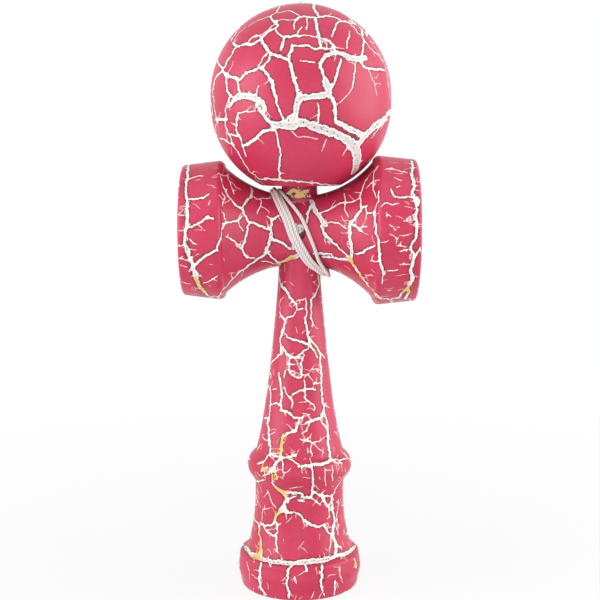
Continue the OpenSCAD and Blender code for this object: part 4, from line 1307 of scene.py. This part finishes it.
class KENDAMA_OT_crosspiece(bpy.types.Operator):
    """Turn the crosspiece with its big and small cup, and bore it for the ken and the string"""
    bl_idname = "kendama.crosspiece"
    bl_label = "Crosspiece"

    def execute(self, context):
        settings = context.scene.kendama
        c, k = settings.crosspiece, settings.ken
        big = self.half(c, c.big_flank_r, c.big_d, c.big_rim_d, c.big_mouth_d, c.big_depth)
        small = self.half(c, c.small_flank_r, c.small_d, c.small_rim_d, c.small_mouth_d, c.small_depth)
        outline = big + [(r, -x) for r, x in reversed(small)]
        axis = Vector((0, 0, c.axis_h))
        crosspiece = turned("crosspiece_turned", outline, axis, "X", steps=288)
        reach = c.waist_d / 2 + MM
        up, back = Vector((0, 0, reach)), Vector((0, reach, 0))

        def bore(z):
            slant = (k.taper_d - k.spike_d) / 2 / (k.spike_h - k.taper_h)
            return k.taper_d / 2 - slant * (z - k.taper_h) + c.fit

        def on_band(place):
            return abs(place.x) > c.length / 3 and (place - axis).yz.length > c.big_mouth_d / 2

        cut(crosspiece, drill(bore(c.axis_h - reach), axis - up, axis + up, bore(c.axis_h + reach)))
        hole = Vector((c.hole_x, 0, c.axis_h))
        cut(crosspiece, drill(c.hole_d / 2, hole - back, hole + back))
        cut(crosspiece, drill(c.mouth_d / 2, hole - 2 * back, hole + Vector((0, c.mouth_y, 0))))
        cracks = Crackle(crosspiece, settings.stage, seed=12)
        cracks.trace(CROSSPIECE_CRACKS)
        cracks.fill_unseen(room=4.6, widths=(0.35, 0.5, 0.6, 0.8, 1.0))
        cracks.feather(spacing=7, longest=9)
        cracks.craze(count=420, along=(1, 0, 0), test=on_band)
        cracks.craze(count=130)
        cracks.stains(CROSSPIECE_STAINS)
        cracks.store()
        finish_piece(crosspiece, crackle_lacquer(settings.finish), ["sarado"], "ken")
        return {"FINISHED"}

    def half(self, c, flank_r, d, rim_d, mouth_d, depth):
        """Half of the outline, from the bottom of its cup round to its waist."""
        half_l, waist = c.length / 2, c.waist_d / 2
        bowl_r = ((mouth_d / 2) ** 2 + depth ** 2) / (2 * depth)
        mouth_a = math.degrees(math.asin(mouth_d / 2 / bowl_r))
        end_r = d / 2 - c.shoulder_r
        end_x = math.sqrt(flank_r ** 2 - (waist + flank_r - end_r) ** 2)
        bowl = arc((0, half_l - depth + bowl_r), bowl_r, -90, mouth_a - 90, 24)
        outside = (
            [bowl[-1]]
            + arc((rim_d / 2 - c.rim_r, half_l - c.rim_r), c.rim_r, 90, 0, 8)
            + arc((end_r, end_x + c.shoulder_r), c.shoulder_r, 0, -60, 8)
            + [(waist + flank_r - math.sqrt(flank_r ** 2 - x * x), x)
               for x in (end_x * (1 - i / 40) for i in range(41))])
        fine, coarse = 0.5 * MM, 0.7 * MM
        return fill(bowl, coarse) + fill(outside, fine)[1:]


class KENDAMA_OT_ball(bpy.types.Operator):
    """Turn the ball with its spike hole, bead seat and string bore"""
    bl_idname = "kendama.ball"
    bl_label = "Ball"

    def execute(self, context):
        settings = context.scene.kendama
        b = settings.ball
        r = b.diameter / 2
        low = b.low + math.sqrt(r * r - (b.flat_d / 2) ** 2)
        high = low + b.belt
        edge_x = math.sqrt((r - b.edge_r) ** 2 - (low - b.low - b.edge_r) ** 2)
        edge_a = -math.degrees(math.acos(edge_x / (r - b.edge_r)))
        lip_x = b.bore_r + b.lip_r
        lip_z = high + math.sqrt(r * r - lip_x * lip_x) - b.lip_r
        hole_top = b.low + b.hole_depth
        seat_top = hole_top + b.seat_h
        shown = (
            [(b.hole_d / 2 + b.bevel, b.low)]
            + arc((edge_x, b.low + b.edge_r), b.edge_r, -90, edge_a, 8)
            + arc((0, low), r, edge_a, 0, 60)
            + arc((0, high), r, 0, math.degrees(math.acos(lip_x / r)), 80)
            + arc((lip_x, lip_z), b.lip_r, 90, 180, 8))
        inside = [shown[-1], (b.bore_r, seat_top), (b.seat_d / 2, seat_top), (b.seat_d / 2, hole_top),
                  (b.hole_d / 2, hole_top), (b.hole_d / 2, b.low + b.bevel), shown[0]]
        fine, hidden = 0.53 * MM, 3 * MM
        outline = fill(shown, fine) + fill(inside, hidden)[1:]
        ball = turned("ball_turned", outline, (b.x, 0, 0), "Z", steps=300)
        hole_r = b.hole_d / 2 + b.bevel / 2

        def in_hole(place):
            return place[2] < seat_top and math.hypot(place[0] - b.x, place[1]) < hole_r

        cracks = Crackle(ball, settings.stage, seed=13)
        cracks.trace(BALL_CRACKS)
        cracks.fill_unseen(room=6.4, widths=(0.4, 0.6, 0.8, 1.0, 1.4, 2.0), bare=in_hole)
        cracks.feather(spacing=15, longest=13)
        cracks.craze(count=30)
        cracks.store()
        finish_piece(ball, crackle_lacquer(settings.finish), ["ball"], "ball")
        return {"FINISHED"}


class KENDAMA_OT_bead(bpy.types.Operator):
    """Give the bead inside the ball its wood"""
    bl_idname = "kendama.bead"
    bl_label = "Bead"

    def execute(self, context):
        bead = bpy.data.objects["bead"]
        bead.data.materials.clear()
        bead.data.materials.append(turned_beech(context.scene.kendama.finish))
        return {"FINISHED"}


class KENDAMA_PT_panel(bpy.types.Panel):
    """Sizes, colours and steps of the kendama"""
    bl_idname = "KENDAMA_PT_panel"
    bl_label = "Kendama"
    bl_space_type = "VIEW_3D"
    bl_region_type = "UI"
    bl_category = "Kendama"

    def draw(self, context):
        settings = context.scene.kendama
        for group in (settings.ken, settings.crosspiece, settings.ball, settings.string, settings.finish,
                      settings.stage):
            box = self.layout.box()
            for name in group.__annotations__:
                box.prop(group, name)
        for operator in OPERATORS:
            self.layout.operator(operator.bl_idname)


OPERATORS = (KENDAMA_OT_stage, KENDAMA_OT_string, KENDAMA_OT_ken, KENDAMA_OT_crosspiece, KENDAMA_OT_ball,
             KENDAMA_OT_bead)
CLASSES = (KenSizes, CrosspieceSizes, BallSizes, StringSizes, Finish, Stage, KendamaSettings) + OPERATORS + (
    KENDAMA_PT_panel,)


def register():
    for cls in CLASSES:
        bpy.utils.register_class(cls)
    bpy.types.Scene.kendama = PointerProperty(type=KendamaSettings)


def unregister():
    del bpy.types.Scene.kendama
    for cls in reversed(CLASSES):
        bpy.utils.unregister_class(cls)


def main():
    register()
    bpy.ops.kendama.stage()
    bpy.ops.kendama.string()
    bpy.ops.kendama.ken()
    bpy.ops.kendama.crosspiece()
    bpy.ops.kendama.ball()
    bpy.ops.kendama.bead()


if __name__ == "__main__":
    main()
